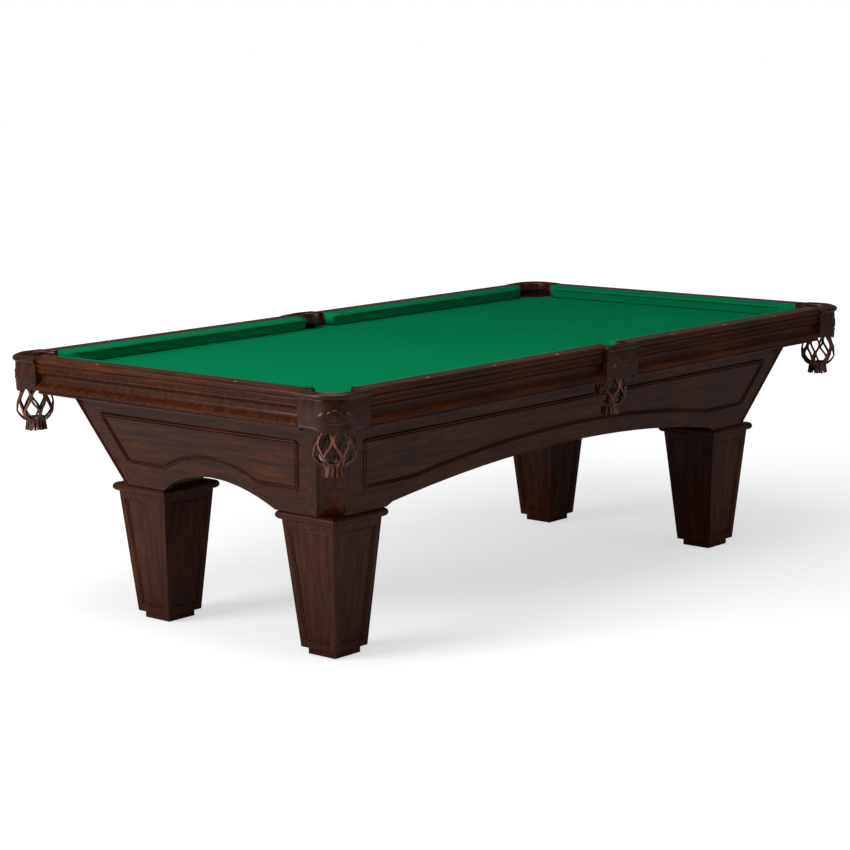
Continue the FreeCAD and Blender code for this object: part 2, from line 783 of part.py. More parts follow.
net_corner = sizes.corner_offset + sizes.corner_net_out / root(Size.of(2))
for sign_x, sign_y, corner in CORNERS:
    net(corner, "corner", sign_x * (nose_x + net_corner), sign_y * (nose_y + net_corner))
for sign_y, side in ((1, "far_side"), (-1, "near_side")):
    net(side, "side", 0, sign_y * (side_y + sizes.side_net_out))

# ---------------------------------------------------------------- cabinet

low = sizes.cabinet_low
high = backing_low
half_x = nose_x - sizes.cabinet_inset_x
half_y = nose_y - sizes.cabinet_inset_y
rise = high - low
lean_x = sizes.cabinet_rise_x / rise
lean_y = sizes.cabinet_rise_y / rise


def apron_outline(half, lean, seat, arch_top):
    """Front of an apron: flat seats on the legs' caps with an arch between them."""
    foot = half - sizes.post_width
    head = foot + lean * rise
    step = seat - sizes.arch_facet
    spring = low + sizes.arch_step
    arch = arc_round(step, arch_top - spring)
    return [(-foot, low), (-seat, low), (-step, spring, arch, -1), (step, spring), (seat, low), (foot, low),
            (head, high), (-head, high)]


def bead_outline(half, lean, arch_half, arch_top, inset):
    """Frame raised on an apron; inset moves the whole outline inwards."""
    margin = sizes.post_width + sizes.bead_margin + inset
    bottom = sizes.bead_bottom + inset
    crown = sizes.bead_top - inset
    foot = half - margin + lean * (bottom - low)
    head = half - margin + lean * (crown - low)
    rise_arch = arch_top + sizes.bead_above_arch - sizes.bead_bottom
    arch = arc_round(arch_half, rise_arch)
    return [(-foot, bottom), (-arch_half, bottom, arch, -1), (arch_half, bottom), (foot, bottom),
            (head, crown), (-head, crown)]


def face_section(face, lean, inner, outer):
    """Section of a board that leans outwards, between two depths from the cabinet's face."""
    return [(face + inner, low), (face + outer, low), (face + lean * rise + outer, high),
            (face + lean * rise + inner, high)]


def apron(name, half, face, lean_along, lean_out, seat, arch_top, arch_half, turn):
    front = apron_outline(half, lean_along, seat, arch_top)
    board = face_section(face, lean_out, -sizes.apron_thick, ZERO)
    keep(crossed("apron_" + name, "XZ_Plane", front, -LONG, 2 * LONG, board, 2 * half + BIG, turn=turn))
    raised = face_section(face, lean_out, ZERO, sizes.bead_proud)
    rings = []
    for label, inset in (("outer", ZERO), ("inner", sizes.bead_width)):
        frame = bead_outline(half, lean_along, arch_half, arch_top, inset)
        rings.append(crossed("bead_%s_%s" % (name, label), "XZ_Plane", frame, -LONG, 2 * LONG,
                             raised, 2 * half + BIG, turn=turn))
    beads.append(cut("bead_" + name, *rings))


beads = []
long_seat = leg_x - sizes.cap_half
short_seat = leg_y - sizes.cap_half
for name, turn in (("far", 0), ("near", 180)):
    apron(name, half_x, half_y, lean_x, lean_y, long_seat, sizes.long_arch_top, sizes.long_bead_arch, turn)
for name, turn in (("right", -90), ("left", 90)):
    apron(name, half_y, half_x, lean_y, lean_x, short_seat, sizes.short_arch_top, sizes.short_bead_arch, turn)
keep(combine("Part::Compound", "panel_beads", beads))


def post_outline(extra_x, extra_y):
    """Plan of a corner post with its outer edge chamfered."""
    x = half_x + extra_x
    y = half_y + extra_y
    return [(x - sizes.post_width, y), (x - sizes.post_width, y - sizes.post_thick),
            (x - sizes.post_thick, y - sizes.post_width), (x, y - sizes.post_width),
            (x, y - sizes.post_chamfer), (x - sizes.post_chamfer, y)]


def mirrored(points):
    return [(-point[0], point[1]) for point in reversed(points)]


posts = []
for name, flip, turn in (("far_right", False, 0), ("near_left", False, 180), ("far_left", True, 0),
                         ("near_right", True, 180)):
    body = doc.addObject("PartDesign::Body", "post_" + name)
    outlines = [post_outline(ZERO, ZERO), post_outline(sizes.cabinet_rise_x, sizes.cabinet_rise_y)]
    if flip:
        outlines = [mirrored(points) for points in outlines]
    foot = sketch_on(body, "XY_Plane", [outlines[0]], low)
    head = sketch_on(body, "XY_Plane", [outlines[1]], high)
    loft = body.newObject("PartDesign::AdditiveLoft", "post_%s_loft" % name)
    loft.Profile = foot
    loft.Sections = [head]
    loft.Ruled = True
    posts.append(place(body, turn=turn))
keep(combine("Part::Compound", "corner_posts", posts))

beam_low = high - sizes.beam_height
beam_reach = half_y - sizes.apron_thick + lean_y * (beam_low - low)
beam_head = beam_reach + lean_y * sizes.beam_height
beam_section = [(-beam_reach, beam_low), (beam_reach, beam_low), (beam_head, high), (-beam_head, high)]
beams = [place(pad_body("beam_%d" % number, "YZ_Plane", [beam_section], None, sizes.beam_width, True), x=spot)
         for number, spot in enumerate((-sizes.outer_beam, -joint, joint, sizes.outer_beam))]
keep(combine("Part::Compound", "cross_beams", beams))

# ---------------------------------------------------------------- legs and levellers

cap_low = low - sizes.cap_thick
plinth_low = sizes.plinth_lift


def block_plan():
    """Plan of the far right corner block: a square whose outer corner follows the post's inner face."""
    x_low = leg_x - sizes.block_half
    x_high = leg_x + sizes.block_half
    y_low = leg_y - sizes.block_half
    y_high = leg_y + sizes.block_half
    post_line = half_x + half_y - sizes.post_width - sizes.post_thick
    return [(x_low, y_low), (x_high, y_low), (x_high, post_line - x_high), (post_line - y_high, y_high),
            (x_low, y_high)]


blocks, leg_bolts, caps, plinths, inserts = [], [], [], [], []
for sign_x, sign_y, corner in CORNERS:
    x = sign_x * leg_x
    y = sign_y * leg_y
    bolt_holes_here = []
    for sign in (1, -1):
        spot_x = x + sign * sizes.leg_bolt_spread / 2
        spot_y = y + sign * sizes.leg_bolt_spread / 2
        tag = "%s_%d" % (corner, sign)
        bolt_top = low + sizes.block_thick
        bolt_low = low - sizes.leg_bolt_depth
        bolt_holes_here.append(cylinder("leg_hole_" + tag, sizes.leg_bolt_round + sizes.bolt_clearance,
                                        bolt_top - bolt_low + 2, spot_x, spot_y, bolt_low - 1))
        shank = cylinder("leg_shank_" + tag, sizes.leg_bolt_round, bolt_top - bolt_low,
                         spot_x, spot_y, bolt_low)
        head = cylinder("leg_head_" + tag, 2 * sizes.leg_bolt_round, sizes.head_thick,
                        spot_x, spot_y, bolt_top)
        leg_bolts.append(combine("Part::MultiFuse", "leg_bolt_" + tag, [shank, head]))
    drills = combine("Part::MultiFuse", "leg_drills_" + corner, bolt_holes_here)
    outline = [(sign_x * along, sign_y * across) for along, across in block_plan()]
    block = pad_body("block_solid_" + corner, "XY_Plane", [outline], low, sizes.block_thick)
    blocks.append(cut("block_" + corner, block, drills))
    cap_block = box("cap_block_" + corner, sizes.cap_half, sizes.cap_half, sizes.cap_thick, x, y, cap_low)
    doc.recompute()
    rounded = doc.addObject("Part::Fillet", "cap_rounded_" + corner)
    rounded.Base = cap_block
    flat_edges = [n for n, edge in enumerate(cap_block.Shape.Edges, 1)
                  if abs(edge.Vertexes[0].Z - edge.Vertexes[1].Z) < 0.01]
    rounded.Edges = [(n, sizes.cap_round.value, sizes.cap_round.value) for n in flat_edges]
    caps.append(cut("cap_" + corner, rounded, drills))

    sunk = sizes.panel_depth
    outer = frustum("leg_outer_" + corner, sizes.leg_foot_half, sizes.leg_top_half,
                    sizes.plinth_top, cap_low, x, y)
    core = frustum("leg_core_" + corner, sizes.leg_foot_half - sunk, sizes.leg_top_half - sunk,
                   sizes.plinth_top, cap_low, x, y)
    taper = (sizes.leg_top_half - sizes.leg_foot_half) / (cap_low - sizes.plinth_top)
    panel_foot = sizes.leg_foot_half + taper * (sizes.panel_low - sizes.plinth_top) - sizes.stile_width
    panel_head = sizes.leg_foot_half + taper * (sizes.panel_high - sizes.plinth_top) - sizes.stile_width
    panel = [(-panel_foot, sizes.panel_low), (panel_foot, sizes.panel_low), (panel_head, sizes.panel_high),
             (-panel_head, sizes.panel_high)]
    prisms = []
    for turn in (0, 90):
        prism = pad_body("panel_%s_%d" % (corner, turn), "XZ_Plane", [panel], -BIG, 2 * BIG)
        prisms.append(place(prism, x, y, 0, turn))
    both = combine("Part::MultiFuse", "panels_" + corner, prisms)
    recess = cut("recess_" + corner, both, core)
    well = cylinder("stem_well_" + corner, sizes.stem_hole_round, sizes.stem_hole_top, x, y, 0)
    socket = cylinder("insert_well_" + corner, sizes.insert_round, sizes.insert_length,
                      x, y, sizes.insert_low)
    tools = combine("Part::MultiFuse", "leg_tools_" + corner, [recess, well, socket, drills])
    keep(cut("leg_" + corner, outer, tools))

    foot_block = box("plinth_block_" + corner, sizes.plinth_half, sizes.plinth_half,
                     sizes.plinth_top - plinth_low, x, y, plinth_low)
    foot_room = cylinder("pad_room_" + corner, sizes.pad_recess_round, sizes.plinth_top, x, y, 0)
    plinths.append(cut("plinth_" + corner, foot_block, foot_room))
    tube = cylinder("insert_tube_" + corner, sizes.insert_round, sizes.insert_length, x, y, sizes.insert_low)
    bore = cylinder("insert_bore_" + corner, sizes.insert_bore, BIG, x, y, 0)
    inserts.append(cut("insert_" + corner, tube, bore))

    disc = cylinder("leveller_pad_" + corner, sizes.pad_round, sizes.pad_thick, x, y, 0)
    keep(disc)
    rod = cylinder("stem_rod_" + corner, sizes.stem_round, sizes.stem_top - sizes.pad_thick,
                   x, y, sizes.pad_thick)
    flat = doc.addObject("Part::Prism", "stem_flat_" + corner)
    flat.Polygon = 6
    bind(flat, "Circumradius", sizes.stem_flat / root(Size.of(3)))
    bind(flat, "Height", sizes.stem_flat_thick)
    place(flat, x, y, sizes.pad_thick)
    keep(combine("Part::MultiFuse", "leveller_stem_" + corner, [rod, flat]))
for name, pieces in (("corner_blocks", blocks), ("leg_bolts", leg_bolts), ("leg_caps", caps),
                     ("leg_plinths", plinths), ("leveller_inserts", inserts)):
    keep(combine("Part::Compound", name, pieces))

# ---------------------------------------------------------------- check and write

doc.recompute()
failed = [item.Name for item in doc.Objects if {"Invalid", "Error"} & set(item.State)]
if failed:
    raise RuntimeError("objects that did not compute: " + ", ".join(failed))
for node in nodes:
    if node.Shape.isNull() or not node.Shape.isValid() or not node.Shape.Solids:
        raise RuntimeError("not a sound solid: " + node.Label)
os.makedirs("parts", exist_ok=True)
for node in nodes:
    node.Shape.exportStep("parts/%s.step" % node.Label)
    size = node.Shape.BoundBox
    print("%-28s %2d solids, x %8.1f %8.1f  y %8.1f %8.1f  z %7.1f %7.1f" % (
        node.Label, len(node.Shape.Solids), size.XMin, size.XMax, size.YMin, size.YMax, size.ZMin, size.ZMax))
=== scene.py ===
"""Looks of the pool table: leather pockets and nets, cloths, mouldings, finishes, light and camera.

Metres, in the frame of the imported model: X along the table, Y across it, +Z up, origin on the floor.
"""

import json
import logging
import math
from dataclasses import dataclass, field
from enum import Enum
from typing import Callable, Sequence

import bmesh
import bpy
import numpy as np
from mathutils import Matrix, Vector


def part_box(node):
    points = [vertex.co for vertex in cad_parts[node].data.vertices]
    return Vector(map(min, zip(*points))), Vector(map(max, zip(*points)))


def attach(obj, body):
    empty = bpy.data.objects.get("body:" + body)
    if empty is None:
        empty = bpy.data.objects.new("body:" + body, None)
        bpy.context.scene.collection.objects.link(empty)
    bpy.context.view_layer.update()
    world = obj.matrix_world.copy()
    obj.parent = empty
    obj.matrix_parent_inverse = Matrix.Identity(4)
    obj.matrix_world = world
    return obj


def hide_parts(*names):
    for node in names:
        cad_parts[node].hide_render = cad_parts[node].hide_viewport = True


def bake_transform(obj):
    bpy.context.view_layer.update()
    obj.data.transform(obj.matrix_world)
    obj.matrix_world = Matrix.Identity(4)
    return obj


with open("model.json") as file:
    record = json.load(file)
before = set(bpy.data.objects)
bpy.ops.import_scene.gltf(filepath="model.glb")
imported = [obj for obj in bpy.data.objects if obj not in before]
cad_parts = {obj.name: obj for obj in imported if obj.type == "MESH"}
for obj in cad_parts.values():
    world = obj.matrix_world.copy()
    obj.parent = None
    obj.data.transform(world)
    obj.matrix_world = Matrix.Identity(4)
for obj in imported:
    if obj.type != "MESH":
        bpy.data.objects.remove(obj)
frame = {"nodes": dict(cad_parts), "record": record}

LOG = logging.getLogger("pool_table")
TABLE = "table"
Array = np.ndarray


# ---------------------------------------------------------------- small helpers

def srgb(code: str) -> tuple[float, float, float, float]:
    """Turns an sRGB hex colour into Blender's linear colour.

    Args:
        code: Six hex digits.

    Returns:
        Linear red, green, blue and an alpha of one.
    """
    parts = np.array([int(code[i:i + 2], 16) / 255 for i in (0, 2, 4)])
    linear = np.where(parts <= 0.04045, parts / 12.92, ((parts + 0.055) / 1.055) ** 2.4)
    return (*[float(part) for part in linear], 1.0)


def add_node(tree: bpy.types.NodeTree, kind: str, settings: dict | None = None,
             inputs: dict | None = None) -> bpy.types.Node:
    """Adds a shader node with its settings and its links.

    Args:
        tree: The material's node tree.
        kind: Blender's name of the node.
        settings: Properties of the node, by name.
        inputs: Input sockets by name or number; a value is a constant or the socket it is linked from.

    Returns:
        The new node.
    """
    made = tree.nodes.new(kind)
    for name, value in (settings or {}).items():
        setattr(made, name, value)
    for name, value in (inputs or {}).items():
        if isinstance(value, bpy.types.NodeSocket):
            tree.links.new(value, made.inputs[name])
        else:
            made.inputs[name].default_value = value
    return made


def set_ramp(ramp: bpy.types.Node, stops: Sequence[tuple[float, str]]) -> None:
    """Gives a colour ramp its stops.

    Args:
        ramp: The ramp node.
        stops: Position and hex colour of each stop, lowest first.
    """
    elements = ramp.color_ramp.elements
    while len(elements) < len(stops):
        elements.new(0.5)
    for element, (position, code) in zip(elements, stops):
        element.position = position
        element.color = srgb(code)


def grid_faces(rows: int, columns: int, around: bool = False) -> Array:
    """Quads of a rows by columns grid of points, numbered row after row.

    Args:
        rows: Points along the first parameter.
        columns: Points along the second parameter.
        around: Whether the second parameter closes on itself.

    Returns:
        Corner numbers, one quad to a row.
    """
    last = columns if around else columns - 1
    i, j = np.meshgrid(np.arange(rows - 1), np.arange(last), indexing="ij")
    k = (j + 1) % columns
    quads = np.stack([i * columns + j, i * columns + k, (i + 1) * columns + k, (i + 1) * columns + j], -1)
    return quads.reshape(-1, 4)


@dataclass
class MeshParts:
    """Points and faces that are gathered before they become one mesh."""

    points: list[Array] = field(default_factory=list)
    faces: list[list[int]] = field(default_factory=list)
    slots: list[int] = field(default_factory=list)
    count: int = 0

    def add(self, points: Array, faces: Sequence[Sequence[int]], slot: int = 0) -> None:
        """Adds a piece of surface.

        Args:
            points: Points, one to a row.
            faces: Corner numbers within these points.
            slot: Material slot of these faces.
        """
        self.points.append(np.asarray(points, float).reshape(-1, 3))
        self.faces += [[int(c) + self.count for c in face] for face in faces]
        self.slots += [slot] * len(faces)
        self.count += len(self.points[-1])

    def add_grid(self, points: Array, slot: int = 0, around: bool = False, caps: bool = False) -> None:
        """Adds a grid of points with shape rows by columns by three.

        Args:
            points: The grid.
            slot: Material slot of its faces.
            around: Whether each row is a closed loop.
            caps: Whether the first and last loops are closed with a face.
        """
        rows, columns = points.shape[:2]
        faces = [list(quad) for quad in grid_faces(rows, columns, around)]
        if caps:
            faces.append(list(range(columns))[::-1])
            faces.append(list(range((rows - 1) * columns, rows * columns)))
        self.add(points, faces, slot)

    def build(self, name: str, materials: Sequence[bpy.types.Material], smooth: bool = True,
              recalculate: bool = True) -> bpy.types.Object:
        """Makes the object, at the origin and with its faces outwards.

        Args:
            name: The object's name.
            materials: One material to each slot.
            smooth: Whether faces are shaded smooth, with sharp edges kept past 40 degrees.
            recalculate: Whether normals are worked out again from the closed surface.

        Returns:
            The new object, linked to the scene.
        """
        mesh = bpy.data.meshes.new(name)
        mesh.from_pydata(np.concatenate(self.points).tolist(), [], self.faces)
        mesh.polygons.foreach_set("material_index", np.array(self.slots, np.int32))
        for material in materials:
            mesh.materials.append(material)
        mesh.update()
        piece = bpy.data.objects.new(name, mesh)
        bpy.context.scene.collection.objects.link(piece)
        if recalculate:
            work = bmesh.new()
            work.from_mesh(mesh)
            bmesh.ops.remove_doubles(work, verts=work.verts, dist=1e-6)
            bmesh.ops.recalc_face_normals(work, faces=work.faces)
            work.to_mesh(mesh)
            work.free()
        if smooth:
            mesh.polygons.foreach_set("use_smooth", np.ones(len(mesh.polygons), bool))
            mesh.set_sharp_from_angle(angle=math.radians(40))
        mesh.update()
        return piece


def turn_about_z(points: Array, degrees: float) -> Array:
    """Points turned about +Z through the origin by an angle: x' = x cos - y sin, y' = x sin + y cos.

    Args:
        points: Points, one to a row.
        degrees: Angle of the turn, anticlockwise seen from above.

    Returns:
        The turned points.
    """
    angle = math.radians(degrees)
    spin = np.array([[math.cos(angle), -math.sin(angle), 0], [math.sin(angle), math.cos(angle), 0], [0, 0, 1]])
    return np.asarray(points, float) @ spin.T


def arc_points(start: Array, end: Array, rise: float, count: int) -> Array:
    """Points on the arc from start to end whose middle stands rise to the left of the chord.

    With half chord c and rise h, the radius is (c squared + h squared) / 2h and the centre lies on the
    chord's normal.

    Args:
        start: First point.
        end: Last point.
        rise: Height of the arc over its chord.
        count: How many points are wanted.

    Returns:
        The points in order from start to end.
    """
    start, end = np.asarray(start, float), np.asarray(end, float)
    half = np.linalg.norm(end - start) / 2
    along = (end - start) / (2 * half)
    left = np.array([-along[1], along[0]])
    radius = (half ** 2 + rise ** 2) / (2 * rise)
    sweep = math.asin(min(1.0, half / radius))
    angles = np.linspace(-sweep, sweep, count)
    middle = (start + end) / 2 + left * (rise - radius)
    return middle + radius * (np.sin(angles)[:, None] * along + np.cos(angles)[:, None] * left)


def mitre_normals(path: Array, closed: bool) -> Array:
    """In-plane normals of a path, lengthened at each bend so that parallel edges stay parallel.

    At a point the normal is the mean of its two edges' unit normals divided by the square of its length.

    Args:
        path: Points of the path in its own plane.
        closed: Whether the last point joins the first.

    Returns:
        One normal to each point.
    """
    before = path - np.roll(path, 1, axis=0)
    after = np.roll(path, -1, axis=0) - path
    if not closed:
        before[0] = after[0]
        after[-1] = before[-1]
    units = [edge / np.linalg.norm(edge, axis=1)[:, None] for edge in (before, after)]
    mean = (units[0] + units[1]) / 2
    mean /= np.maximum(np.sum(mean ** 2, axis=1), 0.2)[:, None]
    return np.stack([-mean[:, 1], mean[:, 0]], -1)


# ---------------------------------------------------------------- finishes

class Grain(Enum):
    """Which way a board's fibres run."""

    ALONG_X = (1.0, 14.0, 14.0)
    ALONG_Y = (14.0, 1.0, 14.0)
    ALONG_Z = (14.0, 14.0, 1.0)


@dataclass(frozen=True)
class Mahogany:
    """Poplar and maple stained dark as mahogany, under sanded and rubbed lacquer.

    The stain sits darker in the fibres' pores and the lacquer gives a soft clear gloss over them.
    """

    grain: Grain
    dark: str = "2C1004"
    middle: str = "4A2009"
    light: str = "66330D"
    fibre_mm: float = 5.0

    def build(self) -> bpy.types.Material:
        """Makes the material; streaks are noise stretched along the fibres, finer ones give the pores.

        Returns:
            The material.
        """
        material = bpy.data.materials.new("stained_mahogany_" + self.grain.name.lower())
        material.use_nodes = True
        tree = material.node_tree
        shader = tree.nodes["Principled BSDF"]
        where = add_node(tree, "ShaderNodeTexCoord").outputs["Object"]
        stretched = add_node(tree, "ShaderNodeMapping", {}, {"Vector": where, "Scale": self.grain.value})
        across = 1000 / self.fibre_mm / 14
        streaks = add_node(tree, "ShaderNodeTexNoise", {}, {
            "Vector": stretched.outputs[0], "Scale": across * 0.35, "Detail": 8.0, "Roughness": 0.62,
            "Distortion": 0.6})
        pores = add_node(tree, "ShaderNodeTexNoise", {}, {
            "Vector": stretched.outputs[0], "Scale": across * 3.2, "Detail": 4.0, "Roughness": 0.7})
        clouds = add_node(tree, "ShaderNodeTexNoise", {}, {"Vector": where, "Scale": 3.0, "Detail": 3.0})
        ramp = add_node(tree, "ShaderNodeValToRGB", {}, {"Fac": streaks.outputs["Fac"]})
        set_ramp(ramp, [(0.30, self.dark), (0.50, self.middle), (0.72, self.light)])
        pore_ramp = add_node(tree, "ShaderNodeValToRGB", {}, {"Fac": pores.outputs["Fac"]})
        set_ramp(pore_ramp, [(0.36, "B4A79E"), (0.55, "FFFFFF")])
        cloud_ramp = add_node(tree, "ShaderNodeValToRGB", {}, {"Fac": clouds.outputs["Fac"]})
        set_ramp(cloud_ramp, [(0.35, "D6CCC6"), (0.65, "FFFFFF")])
        grained = add_node(tree, "ShaderNodeMix", {"data_type": "RGBA", "blend_type": "MULTIPLY"}, {
            0: 1.0, 6: ramp.outputs["Color"], 7: pore_ramp.outputs["Color"]})
        clouded = add_node(tree, "ShaderNodeMix", {"data_type": "RGBA", "blend_type": "MULTIPLY"}, {
            0: 1.0, 6: grained.outputs[2], 7: cloud_ramp.outputs["Color"]})
        tree.links.new(clouded.outputs[2], shader.inputs["Base Color"])
        dull = add_node(tree, "ShaderNodeMapRange", {}, {
            "Value": pores.outputs["Fac"], "From Min": 0.3, "From Max": 0.7, "To Min": 0.42, "To Max": 0.30})
        tree.links.new(dull.outputs[0], shader.inputs["Roughness"])
        bump = add_node(tree, "ShaderNodeBump", {}, {
            "Strength": 0.12, "Distance": 0.0004, "Height": pores.outputs["Fac"]})
        tree.links.new(bump.outputs[0], shader.inputs["Normal"])
        shader.inputs["Specular IOR Level"].default_value = 0.12
        shader.inputs["Coat Weight"].default_value = 0.22
        shader.inputs["Coat Roughness"].default_value = 0.14
        return material


@dataclass(frozen=True)
class Cloth:
    """Worsted wool woven flat and tight: a fine even thread with a faint nap sheen."""

    name: str = "worsted_wool_cloth"
    low: str = "00764A"
    high: str = "007E50"
    thread_mm: float = 1.2  # drawn coarser than the real 0.4 mm, so that the weave shows

    def build(self) -> bpy.types.Material:
        """Makes the material; two crossed waves are the threads and slow noise the lie of the nap.

        Returns:
            The material.
        """
        material = bpy.data.materials.new(self.name)
        material.use_nodes = True
        tree = material.node_tree
        shader = tree.nodes["Principled BSDF"]
        where = add_node(tree, "ShaderNodeTexCoord").outputs["Object"]
        turns = 1000 / self.thread_mm / 6.2832
        warp = add_node(tree, "ShaderNodeTexWave", {"bands_direction": "X"}, {"Vector": where, "Scale": turns})
        weft = add_node(tree, "ShaderNodeTexWave", {"bands_direction": "Y"}, {"Vector": where, "Scale": turns})
        weave = add_node(tree, "ShaderNodeMath", {"operation": "MULTIPLY"}, {
            0: warp.outputs["Fac"], 1: weft.outputs["Fac"]})
        nap = add_node(tree, "ShaderNodeTexNoise", {}, {"Vector": where, "Scale": 260.0, "Detail": 3.0})
        lie = add_node(tree, "ShaderNodeTexNoise", {}, {"Vector": where, "Scale": 2.2, "Detail": 2.0})
        mixed = add_node(tree, "ShaderNodeMath", {"operation": "MULTIPLY_ADD"}, {
            0: lie.outputs["Fac"], 1: 0.6, 2: nap.outputs["Fac"]})
        ramp = add_node(tree, "ShaderNodeValToRGB", {}, {"Fac": mixed.outputs[0]})
        set_ramp(ramp, [(0.62, self.low), (0.98, self.high)])
        tree.links.new(ramp.outputs["Color"], shader.inputs["Base Color"])
        height = add_node(tree, "ShaderNodeMath", {"operation": "ADD"}, {
            0: weave.outputs[0], 1: nap.outputs["Fac"]})
        bump = add_node(tree, "ShaderNodeBump", {}, {
            "Strength": 0.25, "Distance": 0.0003, "Height": height.outputs[0]})
        tree.links.new(bump.outputs[0], shader.inputs["Normal"])
        shader.inputs["Roughness"].default_value = 0.95
        shader.inputs["Specular IOR Level"].default_value = 0.02
        shader.inputs["Sheen Weight"].default_value = 0.02
        shader.inputs["Sheen Roughness"].default_value = 0.5
        shader.inputs["Sheen Tint"].default_value = srgb("2FA070")
        return material


@dataclass(frozen=True)
class Leather:
    """Drum-dyed cowhide, glazed and polished: pebbled grain, with a waxy gloss that thins at the edges."""

    name: str = "glazed_cowhide"
    dark: str = "2E120B"
    light: str = "43200F"
    roughness: float = 0.30
    coat: float = 0.14
    pebble_mm: float = 1.6  # cowhide's grain cells, drawn about twice their real size

    def build(self) -> bpy.types.Material:
        """Makes the material; cells are the grain's pebbles and slow noise the uneven dye.

        Returns:
            The material.
        """
        material = bpy.data.materials.new(self.name)
        material.use_nodes = True
        tree = material.node_tree
        shader = tree.nodes["Principled BSDF"]
        where = add_node(tree, "ShaderNodeTexCoord").outputs["Object"]
        cells = add_node(tree, "ShaderNodeTexVoronoi", {"feature": "DISTANCE_TO_EDGE"}, {
            "Vector": where, "Scale": 1000 / self.pebble_mm})
        dye = add_node(tree, "ShaderNodeTexNoise", {}, {"Vector": where, "Scale": 38.0, "Detail": 5.0})
        ramp = add_node(tree, "ShaderNodeValToRGB", {}, {"Fac": dye.outputs["Fac"]})
        set_ramp(ramp, [(0.34, self.dark), (0.68, self.light)])
        tree.links.new(ramp.outputs["Color"], shader.inputs["Base Color"])
        rough = add_node(tree, "ShaderNodeMapRange", {}, {
            "Value": dye.outputs["Fac"], "From Min": 0.3, "From Max": 0.7,
            "To Min": self.roughness - 0.06, "To Max": self.roughness + 0.08})
        tree.links.new(rough.outputs[0], shader.inputs["Roughness"])
        bump = add_node(tree, "ShaderNodeBump", {}, {
            "Strength": 0.2, "Distance": 0.0003, "Height": cells.outputs["Distance"]})
        tree.links.new(bump.outputs[0], shader.inputs["Normal"])
        shader.inputs["Specular IOR Level"].default_value = 0.25
        shader.inputs["Coat Weight"].default_value = self.coat
        shader.inputs["Coat Roughness"].default_value = 0.20
        return material


@dataclass(frozen=True)
class Plain:
    """A finish of one colour with a little mottling: stone, metal, rubber, pearl or sawn wood."""

    name: str
    dark: str
    light: str
    roughness: float
    metallic: float = 0.0
    grain_mm: float = 4.0
    stretch: tuple[float, float, float] = (1.0, 1.0, 1.0)
    bump: float = 0.1
    coat: float = 0.0

    def build(self) -> bpy.types.Material:
        """Makes the material; noise at the grain's size varies the colour, gloss and surface.

        Returns:
            The material.
        """
        material = bpy.data.materials.new(self.name)
        material.use_nodes = True
        tree = material.node_tree
        shader = tree.nodes["Principled BSDF"]
        where = add_node(tree, "ShaderNodeTexCoord").outputs["Object"]
        placed = add_node(tree, "ShaderNodeMapping", {}, {"Vector": where, "Scale": self.stretch})
        noise = add_node(tree, "ShaderNodeTexNoise", {}, {
            "Vector": placed.outputs[0], "Scale": 1000 / self.grain_mm / 4, "Detail": 6.0})
        ramp = add_node(tree, "ShaderNodeValToRGB", {}, {"Fac": noise.outputs["Fac"]})
        set_ramp(ramp, [(0.35, self.dark), (0.65, self.light)])
        tree.links.new(ramp.outputs["Color"], shader.inputs["Base Color"])
        rough = add_node(tree, "ShaderNodeMapRange", {}, {
            "Value": noise.outputs["Fac"], "From Min": 0.3, "From Max": 0.7,
            "To Min": self.roughness * 0.85, "To Max": min(1.0, self.roughness * 1.15)})
        tree.links.new(rough.outputs[0], shader.inputs["Roughness"])
        bump = add_node(tree, "ShaderNodeBump", {}, {
            "Strength": self.bump, "Distance": 0.0004, "Height": noise.outputs["Fac"]})
        tree.links.new(bump.outputs[0], shader.inputs["Normal"])
        shader.inputs["Metallic"].default_value = self.metallic
        shader.inputs["Coat Weight"].default_value = self.coat
        return material


@dataclass
class Finishes:
    """Every material of the table, made once."""

    wood_x: bpy.types.Material = field(default_factory=lambda: Mahogany(Grain.ALONG_X).build())
    wood_y: bpy.types.Material = field(default_factory=lambda: Mahogany(Grain.ALONG_Y).build())
    wood_z: bpy.types.Material = field(default_factory=lambda: Mahogany(Grain.ALONG_Z).build())
    cloth: bpy.types.Material = field(default_factory=lambda: Cloth().build())
    leather: bpy.types.Material = field(default_factory=lambda: Leather().build())
    strap: bpy.types.Material = field(default_factory=lambda: Leather(
        "strap_leather", "120704", "2A130B", 0.38, 0.3).build())
    # Lighter leather: the real colour of the net strips' cut ends, and a painted highlight on their outward faces.
    cut_end_and_highlight: bpy.types.Material = field(default_factory=lambda: Leather(
        "leather_cut_end_and_painted_highlight", "5E3426", "8C5644", 0.55, 0.05).build())
    thread: bpy.types.Material = field(default_factory=lambda: Plain(
        "waxed_linen_thread", "2A1810", "4A2C1C", 0.6, grain_mm=1.0).build())
    slate: bpy.types.Material = field(default_factory=lambda: Plain(
        "honed_slate", "3A3D40", "4C5053", 0.7, grain_mm=12.0).build())
    softwood: bpy.types.Material = field(default_factory=lambda: Plain(
        "sawn_poplar", "8A6A42", "B08C5C", 0.75, grain_mm=8.0, stretch=(0.2, 1.0, 1.0), bump=0.3).build())
    rubber: bpy.types.Material = field(default_factory=lambda: Plain(
        "moulded_gum_rubber", "6E4A34", "84593E", 0.7, grain_mm=3.0).build())
    pearl: bpy.types.Material = field(default_factory=lambda: Plain(
        "mother_of_pearl", "D8D6CE", "F2F0EA", 0.22, grain_mm=3.0, coat=0.5).build())
    brass: bpy.types.Material = field(default_factory=lambda: Plain(
        "dark_bronze", "33261E", "493628", 0.35, 1.0, 2.0, (0.1, 1.0, 1.0)).build())
    steel: bpy.types.Material = field(default_factory=lambda: Plain(
        "zinc_plated_steel", "8E9194", "A9ACAE", 0.38, 1.0, 3.0).build())
    iron: bpy.types.Material = field(default_factory=lambda: Plain(
        "cast_iron", "24262A", "34373B", 0.62, 0.9, 2.5, bump=0.5).build())


